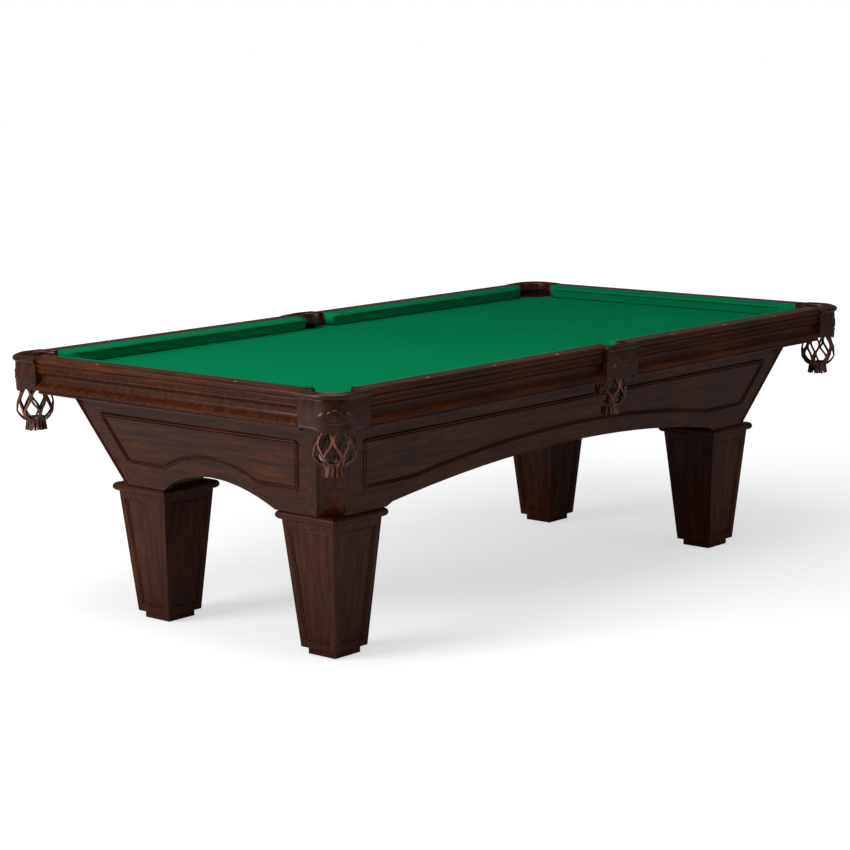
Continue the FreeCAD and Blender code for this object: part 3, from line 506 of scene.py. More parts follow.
def dress(node: str, material: bpy.types.Material) -> None:
    """Gives a carried-over node its material.

    Args:
        node: Name of the node.
        material: The material it gets.
    """
    mesh = bpy.data.objects[node].data
    mesh.materials.clear()
    mesh.materials.append(material)


# ---------------------------------------------------------------- the table's layout

@dataclass
class Layout:
    """Main lines of the table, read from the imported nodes."""

    corner_rim: float = 0.078
    side_rim: float = 0.057
    net_axes: dict[str, tuple[float, float]] = field(default_factory=dict)
    nose_x: float = 0.0
    nose_y: float = 0.0
    corner_x: float = 0.0
    corner_y: float = 0.0
    side_y: float = 0.0
    rail_top: float = 0.0
    bed_top: float = 0.0
    cabinet_low: float = 0.0
    cabinet_high: float = 0.0

    def __post_init__(self) -> None:
        """Works the lines out: the noses are the inner edges of the cushion cloth."""
        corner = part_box("pocket_leather_far_right")[1]
        self.corner_x, self.corner_y = corner[0] - self.corner_rim, corner[1] - self.corner_rim
        self.side_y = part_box("pocket_leather_far_side")[1][1] - self.side_rim
        for joint in frame["record"]["behaviour"]["joints"]:
            if joint["name"].startswith("net_swing_"):
                self.net_axes[joint["name"].removeprefix("net_swing_")] = tuple(joint["pos_m"][:2])
        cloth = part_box("cushion_cloth")
        depth = 0.040
        self.nose_x, self.nose_y = cloth[1][0] - depth, cloth[1][1] - depth
        self.rail_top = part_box("rail_far_right")[1][2]
        self.bed_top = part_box("bed_cloth")[1][2]
        self.cabinet_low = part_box("apron_far")[0][2]
        self.cabinet_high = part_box("apron_far")[1][2]


# ---------------------------------------------------------------- cloths

@dataclass
class BedCloth:
    """Wool cloth stretched over the slates, turned down a little way into each pocket."""

    layout: Layout
    finishes: Finishes
    thick: float = 0.001
    turn_down: float = 0.022
    corner_fall: float = 0.064
    side_fall: float = 0.054

    def outline(self) -> Array:
        """Edge of the cloth, anticlockwise: straight sides with a round notch at every pocket.

        Each notch is an arc about its pocket, walked clockwise from one side of the cloth to the next.

        Returns:
            Points of the edge in plan.
        """
        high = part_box("bed_cloth")[1]
        x, y = high[0], high[1]
        lay = self.layout
        reach_x = math.sqrt(self.corner_fall ** 2 - (y - lay.corner_y) ** 2)
        reach_y = math.sqrt(self.corner_fall ** 2 - (x - lay.corner_x) ** 2)
        side = math.sqrt(self.side_fall ** 2 - (y - lay.side_y) ** 2)
        first = math.atan2(-reach_y, x - lay.corner_x)
        last = math.atan2(y - lay.corner_y, -reach_x) - 2 * math.pi
        angles = np.linspace(first, last, 28)
        corner = np.stack([lay.corner_x + self.corner_fall * np.cos(angles),
                           lay.corner_y + self.corner_fall * np.sin(angles)], -1)
        start = math.atan2(y - lay.side_y, side)
        angles = np.linspace(start, -math.pi - start, 28)
        middle = np.stack([self.side_fall * np.cos(angles), lay.side_y + self.side_fall * np.sin(angles)], -1)
        right_half = np.concatenate([corner, middle])
        upper = np.concatenate([right_half, (corner * [-1, 1])[::-1]])
        return np.concatenate([upper, -upper])

    def build(self) -> bpy.types.Object:
        """Makes the cloth: a flat top, and walls that drop by the turn-down where the pockets are.

        Returns:
            The new object.
        """
        edge = self.outline()
        count = len(edge)
        top = np.c_[edge, np.full(count, self.layout.bed_top)]
        past = np.hypot(np.abs(edge[:, 0]) - self.layout.corner_x, np.abs(edge[:, 1]) - self.layout.corner_y)
        inside = np.minimum(past - self.corner_fall,
                            np.hypot(edge[:, 0], np.abs(edge[:, 1]) - self.layout.side_y) - self.side_fall)
        low = np.where(inside < 1e-4, self.turn_down, self.thick)
        bottom = top - np.c_[np.zeros((count, 2)), low]
        parts = MeshParts()
        parts.add(np.concatenate([top, bottom]),
                  [list(range(count))] + [[i, i + count, (i + 1) % count + count, (i + 1) % count]
                                          for i in range(count)])
        piece = parts.build("bed_cloth_sheet", [self.finishes.cloth], smooth=False)
        return piece


@dataclass
class CushionCloths:
    """Wool cloth stretched over the six cushions, from the feather strip round the nose to the bed."""

    layout: Layout
    finishes: Finishes
    depth: float = 0.040
    feather: float = 0.004
    nose_height: float = 0.794
    under_height: float = 0.7868
    root_height: float = 0.7610
    face_back: float = 0.0130
    thick: float = 0.0009
    fold: float = 0.0007
    corner_mouth: float = 0.127
    corner_facing: float = 38.0
    side_mouth: float = 0.137
    side_facing: float = 76.0
    pieces: list[bpy.types.Object] = field(default_factory=list)

    def profile(self) -> Array:
        """Section from the wood over the top, round the nose and back under: distance out and height.

        The nose is a quarter-and-more circle; below it a straight face falls back to a flat underside.

        Returns:
            Points of the section.
        """
        top_slope = np.stack([np.linspace(self.depth + self.feather, 0.0035, 10),
                              np.linspace(self.layout.rail_top, self.nose_height + 0.0006, 10)], -1)
        top_slope[0, 1] = self.layout.rail_top - 0.0012
        top_slope[1, 1] = self.layout.rail_top - 0.0003
        angles = np.radians(np.linspace(80, 250, 12))
        nose = np.stack([0.0032 + 0.0032 * np.cos(angles), self.nose_height - 0.0030 + 0.0032 * np.sin(angles)], -1)
        face = np.stack([np.linspace(0.004, self.face_back, 6),
                         np.linspace(self.under_height, self.root_height, 6)], -1)
        under = np.stack([np.linspace(self.face_back, self.depth, 4)[1:], np.full(3, self.root_height)], -1)
        return np.concatenate([top_slope, nose, face, under])

    def run(self, name: str, half: float, nose: float, turn: float, stretch: int) -> None:
        """Makes one run of cushion: each point slides along the run by its distance out times the facing.

        Args:
            name: The run's name.
            half: Half the length of this side's nose line.
            nose: Distance of the nose line from the table's middle.
            turn: The side's turn about +Z in degrees.
            stretch: 0 for the whole side, 1 or -1 for the half to either hand of the side pocket.
        """
        section = self.profile()
        corner_tip = half - self.corner_mouth / math.sqrt(2)
        corner_slope = 1 / math.tan(math.radians(self.corner_facing))
        side_slope = -1 / math.tan(math.radians(self.side_facing))
        ends = {0: ((-corner_tip, -corner_slope), (corner_tip, corner_slope)),
                1: ((self.side_mouth / 2, side_slope), (corner_tip, corner_slope)),
                -1: ((-corner_tip, -corner_slope), (-self.side_mouth / 2, -side_slope))}[stretch]
        share = np.linspace(0, 1, 40)[:, None]
        out = np.minimum(section[:, 0], self.depth)
        low = ends[0][0] + ends[0][1] * out
        high = ends[1][0] + ends[1][1] * out
        along = low + (high - low) * share
        grid = np.stack([along, np.broadcast_to(nose + section[:, 0], along.shape),
                         np.broadcast_to(section[:, 1], along.shape)], -1)
        parts = MeshParts()
        parts.add_grid(turn_about_z(grid, turn).transpose(1, 0, 2))
        for end, outward in ((0, -1), (-1, 1)):
            self.facing(parts, turn_about_z(grid[end] + [outward * self.fold, 0, 0], turn))
        piece = parts.build("cushion_cloth_" + name, [self.finishes.cloth])
        shell = piece.modifiers.new("thickness", "SOLIDIFY")
        shell.thickness = self.thick
        shell.offset = -1.0
        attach(piece, TABLE)
        self.pieces.append(piece)

    @staticmethod
    def facing(parts: MeshParts, ring: Array) -> None:
        """Adds the end of a run: strips between the top of the section and its underside.

        Point i from the wood on top is joined to point i from the wood below, and they meet at the nose.

        Args:
            parts: Where the surface is added.
            ring: Section of the run at that end.
        """
        count = len(ring)
        faces = [[i, i + 1, count - 2 - i, count - 1 - i] for i in range((count - 1) // 2)]
        parts.add(ring, [face if len(set(face)) == 4 else sorted(set(face)) for face in faces])

    def build(self) -> list[bpy.types.Object]:
        """Makes all six runs.

        Returns:
            The new objects.
        """
        lay = self.layout
        for name, turn, stretch in (("far_right", 0, 1), ("far_left", 0, -1), ("near_left", 180, 1),
                                    ("near_right", 180, -1)):
            self.run(name, lay.nose_x, lay.nose_y, turn, stretch)
        self.run("right_end", lay.nose_y, lay.nose_x, -90, 0)
        self.run("left_end", lay.nose_y, lay.nose_x, 90, 0)
        return self.pieces


# ---------------------------------------------------------------- pockets

@dataclass
class PocketLeather:
    """Rolled leather collar of a pocket, with its apron: stitched edge, scalloped foot, embossed leaf boss."""

    name: str
    x: float
    y: float
    turn: float
    corner: bool
    finishes: Finishes
    rim: float = 0.078
    hole: float = 0.058
    ear: float = 0.0617
    top: float = 0.800
    crown: float = 0.0025
    rim_bottom: float = 0.782
    inner_drop: float = 0.028
    apron_inset: float = 0.0032
    apron_thick: float = 0.004
    overhang: float = 0.0048
    end_overhang: float = 0.0012
    return_depth: float = 0.017
    return_round: float = 0.0035
    apron_low: float = 0.7035
    boss_scale: float = 1.3

    def reach(self, angle: Array) -> Array:
        """Distance from the pocket's middle to the leather's outer edge at each angle.

        The edge is the nearest of the lines that bound the leather: the table's sides, the ends of the
        ears and, past them, the ring's circle.

        Args:
            angle: Angles about the pocket's middle, in radians.

        Returns:
            The distance at each angle.
        """
        c, s = np.cos(angle), np.sin(angle)
        with np.errstate(divide="ignore"):
            if self.corner:
                along = np.where(c > 1e-9, self.rim / c, np.inf)
                across = np.where(s > 1e-9, self.rim / s, np.inf)
                reach = np.where((c > 0) & (s > 0), self.rim, np.minimum(along, across))
                ends = np.minimum(np.where(s < -1e-9, -self.ear / s, np.inf),
                                  np.where(c < -1e-9, -self.ear / c, np.inf))
                reach = np.minimum(reach, ends)
            else:
                reach = np.where(s > 1e-9, self.rim / s, np.inf)
                reach = np.minimum(reach, self.ear / np.maximum(np.abs(c), 1e-9))
                reach = np.where(s * reach < self.rim - 0.024, self.rim, reach)
        return np.maximum(reach, self.rim)

    def roll_out(self, angle: Array) -> Array:
        """How far the collar rolls out past its edge: fully on the table's outside, barely at the rails.

        Args:
            angle: Angles about the pocket's middle, in radians.

        Returns:
            The distance at each angle.
        """
        x, y = self.reach(angle) * np.cos(angle), self.reach(angle) * np.sin(angle)
        outside = y > self.rim - 0.002
        if self.corner:
            outside |= (x > self.rim - 0.002) | ((x > 0) & (y > 0))
        return np.where(outside, self.overhang, self.end_overhang)

    def collar(self, parts: MeshParts) -> None:
        """Adds the rolled collar: at each angle a section that rises over a round shoulder and rolls in.

        The shoulder is a quarter ellipse at the outer edge and the inner lip another that drops down the
        pocket's wall; between them the leather is padded to a low crown.

        Args:
            parts: Where the surface is added.
        """
        first, last = (-82.0, 172.0) if self.corner else (-5.6, 185.6)
        angles = np.radians(np.linspace(first, last, 220))
        outer = self.reach(angles)[:, None]
        inner = self.hole
        shoulder = 0.012
        t = np.radians(np.linspace(-90, 90, 17))
        half = (self.top - self.rim_bottom) / 2
        overhang = self.roll_out(angles)[:, None]
        out_radius = outer + overhang - shoulder * (1 - np.cos(t) ** 0.8)
        out_height = np.broadcast_to(self.rim_bottom + half * (1 + np.sin(t)), out_radius.shape)
        s = np.linspace(0, 1, 8)[1:-1]
        lip = 0.006
        outer = outer + overhang
        flat_radius = (outer - shoulder) + (inner + lip - outer + shoulder) * s
        flat_height = np.broadcast_to(self.top + self.crown * np.sin(np.pi * s), flat_radius.shape)
        t = np.radians(np.linspace(0, 90, 7))
        in_radius = np.broadcast_to(inner + lip * (1 - np.sin(t)), (len(angles), len(t)))
        in_height = np.broadcast_to(self.top - lip * (1 - np.cos(t)), in_radius.shape)
        wall_radius = np.full((len(angles), 2), inner) + np.array([0.0, 0.004])
        wall_height = np.full_like(wall_radius, self.top - self.inner_drop)
        close_radius = np.concatenate([np.full((len(angles), 1), inner + 0.004), outer - 0.014], 1)
        close_height = np.broadcast_to([self.rim_bottom, self.rim_bottom], close_radius.shape)
        radius = np.concatenate([out_radius, flat_radius, in_radius, wall_radius, close_radius], 1)
        height = np.concatenate([out_height, flat_height, in_height, wall_height, close_height], 1)
        grid = np.stack([radius * np.cos(angles)[:, None], radius * np.sin(angles)[:, None], height], -1)
        parts.add_grid(self.place(grid), around=True, caps=True)

    def return_edge(self, reach: float) -> Array:
        """End of the apron's plan: a short leg that turns back to the wood through a small round.

        Args:
            reach: Distance of the edge from the pocket's middle.

        Returns:
            Points of the plan's end.
        """
        turn = np.radians(np.linspace(180, 90, 6))
        round_edge = self.return_round * np.stack([1 + np.cos(turn), np.sin(turn) - 1], -1)
        return np.concatenate([[[-self.ear, reach - self.return_depth]], round_edge + [-self.ear, reach]])

    def edge_path(self, inset: float, count: int) -> tuple[Array, Array]:
        """Plan of the apron, inset from the collar's edge, evenly spaced, with outward normals.

        Args:
            inset: Distance in from the collar's edge.
            count: How many points are wanted.

        Returns:
            The plan's points and their outward normals.
        """
        reach = self.rim - inset
        if self.corner:
            turn = np.radians(np.linspace(90, 0, 40))
            arc = reach * np.stack([np.cos(turn), np.sin(turn)], -1)
            path = np.concatenate([self.return_edge(reach), arc, self.return_edge(reach)[::-1, ::-1]])
        else:
            path = np.concatenate([self.return_edge(reach), self.return_edge(reach)[::-1] * [-1, 1]])
        steps = np.r_[0, np.cumsum(np.linalg.norm(np.diff(path, axis=0), axis=1))]
        even = np.linspace(0, steps[-1], count)
        path = np.stack([np.interp(even, steps, path[:, axis]) for axis in (0, 1)], -1)
        normal = mitre_normals(path, closed=False)
        return path, normal / np.linalg.norm(normal, axis=1)[:, None]

    def low_edge(self, s: Array) -> Array:
        """Height of the apron's foot across it, s from -1 to 1: straight, with round ends and a scalloped drop.

        The middle drops by a smooth step and carries a cosine scallop; the outer corners rise on a quarter
        circle.

        Args:
            s: Place across the apron, from -1 to 1.

        Returns:
            The height at each place.
        """
        middle = 1 / (1 + np.exp((np.abs(s) - 0.40) * 38))
        scallop = 0.0022 * np.cos(np.pi * 5 * s)
        ends = np.clip((np.abs(s) - 0.86) / 0.14, 0, 1)
        corner = 0.020 * (1 - np.sqrt(1 - ends ** 2))
        return self.apron_low - middle * (0.0065 - scallop) + corner

    def emboss(self, s: Array, z: Array, across: float) -> Array:
        """Height of the pressed pattern: an edge line, and an oval boss between two leaves.

        Each line is a bell curve of its distance; leaves are bells round a bent centre line with veins.

        Args:
            s: Place across the apron, from -1 to 1.
            z: Heights.
            across: Half the apron's length along its plan.

        Returns:
            The height over the plain leather at each point.
        """
        middle = (self.rim_bottom + self.apron_low) / 2
        v = (z - middle) / self.boss_scale
        foot = z - self.low_edge(s)
        line = np.exp(-((foot - 0.0065) / 0.0010) ** 2) * (foot < 0.02)
        line += np.exp(-((np.abs(s * across) - across + 0.0060) / 0.0010) ** 2)
        u = s * across / self.boss_scale
        oval = np.hypot(u / 0.013, v / 0.010)
        boss = 0.9 * np.exp(-((oval - 1) / 0.13) ** 2) + 0.8 * np.exp(-(oval / 0.45) ** 2)
        bend = -0.010 * (np.abs(u) / 0.036) ** 2 + 0.004
        blade = np.clip(1 - ((np.abs(u) - 0.027) / 0.014) ** 2, 0, 1)
        leaf = blade * np.exp(-((v - bend) / (0.0008 + 0.0042 * blade)) ** 2)
        vein = 0.5 * blade * np.exp(-((v - bend) / 0.0006) ** 2)
        swag = np.exp(-((v + 0.018 - 0.010 * (np.abs(u) / 0.034) ** 1.5) / 0.0011) ** 2) * (np.abs(u) < 0.034)
        return 0.0024 * (boss + leaf - vein + 0.8 * swag) - 0.0012 * line

    def apron(self, parts: MeshParts) -> None:
        """Adds the apron: the plan carried down to its shaped foot, pressed with the pattern, with a back.

        Args:
            parts: Where the surface is added.
        """
        path, normal = self.edge_path(self.apron_inset, 150)
        s = np.linspace(-1, 1, len(path))[:, None]
        across = float(np.linalg.norm(np.diff(path, axis=0), axis=1).sum()) / 2
        drop = np.linspace(0, 1, 70)[None, :]
        high = self.rim_bottom + 0.002
        z = high + (self.low_edge(s) - high) * drop
        lift = self.emboss(s, z, across) + 0.0012 * np.sin(np.pi * drop)
        rim = np.minimum(drop * 40, (1 - drop) * 40).clip(0, 1)
        lift = lift - 0.0012 * (1 - rim)
        front = np.concatenate([path[:, None, :] + normal[:, None, :] * lift[..., None], z[..., None]], -1)
        back = np.concatenate([path[:, None, :] - normal[:, None, :] * self.apron_thick + 0 * z[..., None],
                               z[..., None]], -1)
        loop = np.concatenate([front, back[:, ::-1]], axis=1)
        parts.add_grid(self.place(loop), around=True, caps=True)

    def stitches(self, parts: MeshParts) -> None:
        """Adds the thread: a short rounded stitch every 4.5 mm along the apron's foot and sides.

        Args:
            parts: Where the surface is added.
        """
        path, normal = self.edge_path(self.apron_inset, 150)
        across = float(np.linalg.norm(np.diff(path, axis=0), axis=1).sum()) / 2
        count = int(2 * across / 0.0045)
        s = np.linspace(-0.93, 0.93, count)
        ring = np.radians(np.arange(0, 360, 60))
        for middle in s:
            span = middle + np.linspace(-0.0014, 0.0014, 5) / across
            index = (span + 1) / 2 * (len(path) - 1)
            spots = np.stack([np.interp(index, np.arange(len(path)), path[:, axis]) for axis in (0, 1)], -1)
            out = np.stack([np.interp(index, np.arange(len(path)), normal[:, axis]) for axis in (0, 1)], -1)
            z = self.low_edge(span) + 0.0065
            thick = 0.00045 * np.sqrt(1 - np.linspace(-0.95, 0.95, 5) ** 2)[:, None]
            lift = 0.0002
            centre = np.c_[spots + out * lift, z]
            up = np.array([0, 0, 1.0])
            grid = centre[:, None] + thick[..., None] * (np.cos(ring)[None, :, None] * np.c_[out, 0 * z][:, None]
                                                         + np.sin(ring)[None, :, None] * up)
            parts.add_grid(self.place(grid), slot=1, around=True, caps=True)

    def place(self, points: Array) -> Array:
        """Turns points about the pocket and moves them to it.

        Args:
            points: Points, one to a row.

        Returns:
            The points in the table's frame.
        """
        return turn_about_z(points, self.turn) + [self.x, self.y, 0]

    def build(self) -> bpy.types.Object:
        """Makes the whole leather of one pocket.

        Returns:
            The new object.
        """
        parts = MeshParts()
        self.collar(parts)
        self.apron(parts)
        self.stitches(parts)
        piece = parts.build("pocket_leather_%s_sewn" % self.name, [self.finishes.leather, self.finishes.thread])
        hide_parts("pocket_leather_" + self.name)
        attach(piece, TABLE)
        return piece


@dataclass
class Net:
    """Hanging net of slit leather: strips that swing side to side and meet, gathered above a fringe."""

    name: str
    x: float
    y: float
    corner: bool
    finishes: Finishes
    strips: int = 14
    rows: float = 2.5
    width: float = 0.0062
    depth: float = 0.0046
    girth: float = 1.0

    def radius(self, z: Array) -> Array:
        """Distance of the strips from the axis at each height, a smooth curve through five girths.

        Args:
            z: Heights.

        Returns:
            The distance at each height.
        """
        if self.corner:
            heights = [0.576, 0.590, 0.604, 0.616, 0.632, 0.660, 0.695, 0.722]
            girths = [0.0315, 0.0290, 0.0270, 0.0420, 0.0530, 0.0525, 0.0410, 0.0385]
        else:
            heights = [0.590, 0.604, 0.618, 0.629, 0.645, 0.670, 0.698, 0.722]
            girths = [0.0285, 0.0260, 0.0235, 0.0350, 0.0440, 0.0445, 0.0380, 0.0350]
        fine = np.linspace(heights[0], heights[-1], 200)
        rough = np.interp(fine, heights, girths)
        window = np.hanning(15)
        padded_girths = np.pad(rough, 7, mode="edge")
        return self.girth * np.interp(z, fine, np.convolve(padded_girths, window / window.sum(), mode="valid"))

    def strip(self, parts: MeshParts, angle: Array, z: Array, width: float, depth: float,
              outer_face_slot: int = 1) -> None:
        """Adds one strip: a rectangle carried along a line on the net's surface.

        Args:
            parts: Where the strip is added.
            angle: Angle about the axis at each point.
            z: Height of each point.
            width: Size along the surface.
            depth: Size outwards.
            outer_face_slot: Material slot of its outward face; slot 1 gives that face the lighter leather, a painted
                highlight.
        """
        radius = self.radius(z)
        line = np.stack([radius * np.cos(angle), radius * np.sin(angle), z], -1)
        tangent = np.gradient(line, axis=0)
        tangent /= np.linalg.norm(tangent, axis=1)[:, None]
        out = np.stack([np.cos(angle), np.sin(angle), 0 * z], -1)
        side = np.cross(tangent, out)
        side /= np.linalg.norm(side, axis=1)[:, None]
        out = np.cross(side, tangent)
        corners = [(-1, 1), (-0.75, 1.15), (0.75, 1.15), (1, 1), (1, -1), (-1, -1)]
        loop = [line + side * (a * width / 2) + out * (b * depth / 2) for a, b in corners]
        grid = np.stack(loop, 1)
        count = len(line)
        faces = grid_faces(count, 6, True)
        # The outward face (edges 0 to 2) takes the outer face's slot, mostly the lighter leather: a painted
        # highlight on the side towards the light. The mask named outside holds the two sides and the inner face,
        # which keep the dark strap leather.
        edge = faces[:, 0] % 6
        outside = np.isin(edge, (3, 4, 5))
        points = grid.reshape(-1, 3) + [self.x, self.y, 0]
        base = parts.count
        parts.add(points, faces[outside], 0)
        parts.count = base
        parts.faces += [[int(c) + base for c in face] for face in faces[~outside]]
        parts.slots += [outer_face_slot] * int((~outside).sum())
        parts.count = base + len(points)
        # The cut ends take the lighter leather, the real colour of cut leather.
        first = list(range(base, base + 6))[::-1]
        last = list(range(base + (count - 1) * 6, base + count * 6))
        parts.faces += [first, last]
        parts.slots += [1, 1]

    def build(self) -> bpy.types.Object:
        """Makes the net: neighbouring strips swing in opposite phase, so that they touch and part.

        A strip's angle is its share of the turn plus or minus a sine of its height, with half a turn of
        the sine to each row of openings.

        Returns:
            The new object.
        """
        parts = MeshParts()
        neck, tail = (0.608, 0.576) if self.corner else (0.620, 0.590)
        top = 0.720
        step = 2 * math.pi / self.strips
        z = np.linspace(top, neck, 60)
        share = (top - z) / (top - neck)
        rng = np.random.default_rng(7 + len(self.name) + int(1000 * abs(self.x + 2 * self.y)))
        for index in range(self.strips):
            sign = 1 if index % 2 else -1
            wobble = 1 + 0.10 * rng.standard_normal()
            swing = 0.40 * step * sign * np.sin(np.pi * (self.rows * share + 0.5)) * wobble
            angle = index * step + swing
            # Each strip's outward face takes the lighter leather: a painted highlight.
            self.strip(parts, angle, z, self.width, self.depth)
        tails = 2 * self.strips + 4
        for index in range(tails):
            z_tail = np.linspace(neck + 0.004, tail + 0.003 * rng.random(), 8)
            turn = 2 * math.pi * (index + 0.15 * rng.standard_normal()) / tails
            angle = turn + np.linspace(0, 0.05, 8) * rng.standard_normal()
            # Every other tail's outward face takes the lighter leather, a painted highlight; the rest stay dark.
            self.strip(parts, angle, z_tail, 0.0062, 0.0026, outer_face_slot=index % 2)
        self.band(parts, top - 0.006, top + 0.001, 0.0055)
        self.band(parts, neck - 0.002, neck + 0.003, 0.0040)
        piece = parts.build("net_%s_woven" % self.name, [self.finishes.strap, self.finishes.cut_end_and_highlight],
                            recalculate=False)
        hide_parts("net_" + self.name)
        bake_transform(piece)
        return piece

    def band(self, parts: MeshParts, low: float, high: float, thick: float) -> None:
        """Adds a ring of leather between two heights, with a rounded section.

        Args:
            parts: Where the surface is added.
            low: Lower height.
            high: Upper height.
            thick: Thickness outwards.
        """
        t = np.radians(np.arange(0, 360, 30))
        turn = np.linspace(0, 2 * np.pi, 73)[:-1][:, None]
        middle = (low + high) / 2
        base = float(self.radius(np.array([middle]))[0])
        radius = base + thick / 2 * np.cos(t)
        z = np.broadcast_to(middle + (high - low) / 2 * np.sin(t), (72, 12))
        grid = np.stack([radius * np.cos(turn) + self.x, radius * np.sin(turn) + self.y, z], -1)
        closed = np.concatenate([grid, grid[:1]])
        parts.add_grid(closed[:, ::-1], around=True)


# ---------------------------------------------------------------- mouldings

@dataclass
class Mouldings:
    """Thin beads on the cabinet and the legs."""

    layout: Layout
    finishes: Finishes
    half_x: float = 1.012
    half_y: float = 0.443
    rise_x: float = 0.113
    rise_y: float = 0.115
    post_width: float = 0.090
    post_chamfer: float = 0.055
    bead_margin: float = 0.034
    bead_width: float = 0.0135
    bead_top: float = 0.637
    bead_bottom: float = 0.482

    def double_bead(self) -> Array:
        """Section of the panel bead: two half rounds with a valley between, as offset and height.

        Returns:
            Points of the section.
        """
        t = np.linspace(0, 1, 9)
        high = 0.0050 * np.sqrt(np.maximum(0, 1 - (2 * t - 1) ** 2)) + 0.0004
        first = np.stack([t * self.bead_width * 0.56, high], -1)
        second = np.stack([self.bead_width * (0.60 + 0.40 * t), high * 0.8], -1)
        ends = np.array([[self.bead_width, -0.0005], [0.0, -0.0005]])
        return np.concatenate([first, second, ends])

    def panel_path(self, half: float, lean: float, arch_half: float, arch_rise: float) -> Array:
        """Outline of a panel bead on its apron, anticlockwise seen from outside: along and height.

        Args:
            half: Half the panel's width at its foot.
            lean: Run outwards for each metre of rise.
            arch_half: Half the arch's width.
            arch_rise: Height of the arch over its ends.

        Returns:
            Points of the path.
        """
        margin = self.post_width + self.bead_margin
        low = self.layout.cabinet_low
        foot = half - margin + lean * (self.bead_bottom - low)
        head = half - margin + lean * (self.bead_top - low)
        arch = arc_points((-arch_half, self.bead_bottom), (arch_half, self.bead_bottom), arch_rise, 41)
        return np.concatenate([[[-foot, self.bead_bottom]], arch, [[foot, self.bead_bottom],
                               [head, self.bead_top], [-head, self.bead_top]]])

    @staticmethod
    def soften(path: Array, radius: float, count: int = 7) -> Array:
        """The closed path with its sharp corners replaced by curves.

        At a corner the curve is the quadratic (1-t)^2 a + 2t(1-t) b + t^2 c between points a and c at the
        radius's distance to each side of the corner b.

        Args:
            path: Points of the path in its own plane.
            radius: Radius of the rounded corners.
            count: How many points are wanted.

        Returns:
            Points of the rounded path.
        """
        before, after = np.roll(path, 1, axis=0), np.roll(path, -1, axis=0)
        t = np.linspace(0, 1, count)[:, None]
        made = []
        for point, last, following in zip(path, before, after):
            to_last, to_next = last - point, following - point
            lengths = np.linalg.norm(to_last), np.linalg.norm(to_next)
            bend = np.degrees(np.arccos(np.clip(to_last @ to_next / (lengths[0] * lengths[1]), -1, 1)))
            if bend > 172:
                made.append(point[None])
                continue
            reach = min(radius, 0.45 * min(lengths))
            a = point + to_last / lengths[0] * reach
            c = point + to_next / lengths[1] * reach
            made.append((1 - t) ** 2 * a + 2 * t * (1 - t) * point + t ** 2 * c)
        return np.concatenate(made)

    def loop(self, parts: MeshParts, path: Array, section: Array, face: Callable[[Array, Array], Array],
             closed: bool = True) -> None:
        """Adds a bead: its section carried along a path drawn on a flat face.

        Args:
            parts: Where the bead is added.
            path: Points along the face and up it.
            section: Offset inwards and height off the face.
            face: Gives the point in space for a place on the face and a height off it.
            closed: Whether the path closes on itself.
        """
        inward = mitre_normals(path, closed)
        spots = path[:, None, :] + inward[:, None, :] * section[None, :, :1]
        heights = np.broadcast_to(section[:, 1], spots.shape[:2])
        grid = face(spots, heights)
        if closed:
            grid = np.concatenate([grid, grid[:1]])
        parts.add_grid(grid, around=True, caps=not closed)

    def apron_face(self, face_at_low: float, lean: float, turn: float) -> Callable[[Array, Array], Array]:
        """Place on an apron that leans outwards: depth is its foot's depth plus the lean times the rise.

        Args:
            face_at_low: Distance of the face from the table's middle at the cabinet's foot.
            lean: Run outwards for each metre of rise.
            turn: Turn about +Z in degrees.

        Returns:
            A function from places and heights to points on the face.
        """
        low = self.layout.cabinet_low

        def face(spots: Array, heights: Array) -> Array:
            """Puts spots on the leaning face.

            Args:
                spots: Places along the face.
                heights: Heights on the face.

            Returns:
                Points on the face.
            """
            depth = face_at_low + lean * (spots[..., 1] - low) + heights
            return turn_about_z(np.stack([spots[..., 0], depth, spots[..., 1]], -1), turn)
        return face

    def panels(self) -> list[bpy.types.Object]:
        """Makes the beads of the four aprons.

        Returns:
            The four mouldings.
        """
        rise = self.layout.cabinet_high - self.layout.cabinet_low
        lean_x, lean_y = self.rise_x / rise, self.rise_y / rise
        made = []
        for name, turn, long_side in (("far", 0, True), ("near", 180, True), ("right", -90, False),
                                      ("left", 90, False)):
            parts = MeshParts()
            if long_side:
                path = self.panel_path(self.half_x, lean_x, 0.713, 0.060)
                face = self.apron_face(self.half_y, lean_y, turn)
            else:
                path = self.panel_path(self.half_y, lean_y, 0.190, 0.049)
                face = self.apron_face(self.half_x, lean_x, turn)
            self.loop(parts, self.soften(path, 0.016), self.double_bead(), face)
            wood = self.finishes.wood_x if long_side else self.finishes.wood_y
            made.append(parts.build("panel_bead_" + name, [wood]))
        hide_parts("panel_beads")
        return made

    def post_beads(self) -> bpy.types.Object:
        """Makes the slim beads up both edges of each post's chamfer: a small round on a leaning line.

        Returns:
            The new object.
        """
        parts = MeshParts()
        low, high = self.layout.cabinet_low, self.layout.cabinet_high
        ring = np.radians(np.arange(0, 360, 36))
        z = np.linspace(low + 0.001, high - 0.001, 12)
        share = ((z - low) / (high - low))[:, None]
        foot = np.array([self.half_x, self.half_y])
        lean = np.array([self.rise_x, self.rise_y])
        for back in ((self.post_chamfer, 0.0), (0.0, self.post_chamfer)):
            line = foot - back + lean * share
            for sign_x in (1, -1):
                for sign_y in (1, -1):
                    spots = (line - 0.0024) * [sign_x, sign_y]
                    grid = np.stack([spots[:, :1] + 0.0062 * np.cos(ring), spots[:, 1:] + 0.0062 * np.sin(ring),
                                     np.broadcast_to(z[:, None], (len(z), len(ring)))], -1)
                    parts.add_grid(grid, around=True, caps=True)
        return parts.build("post_beads", [self.finishes.wood_z])

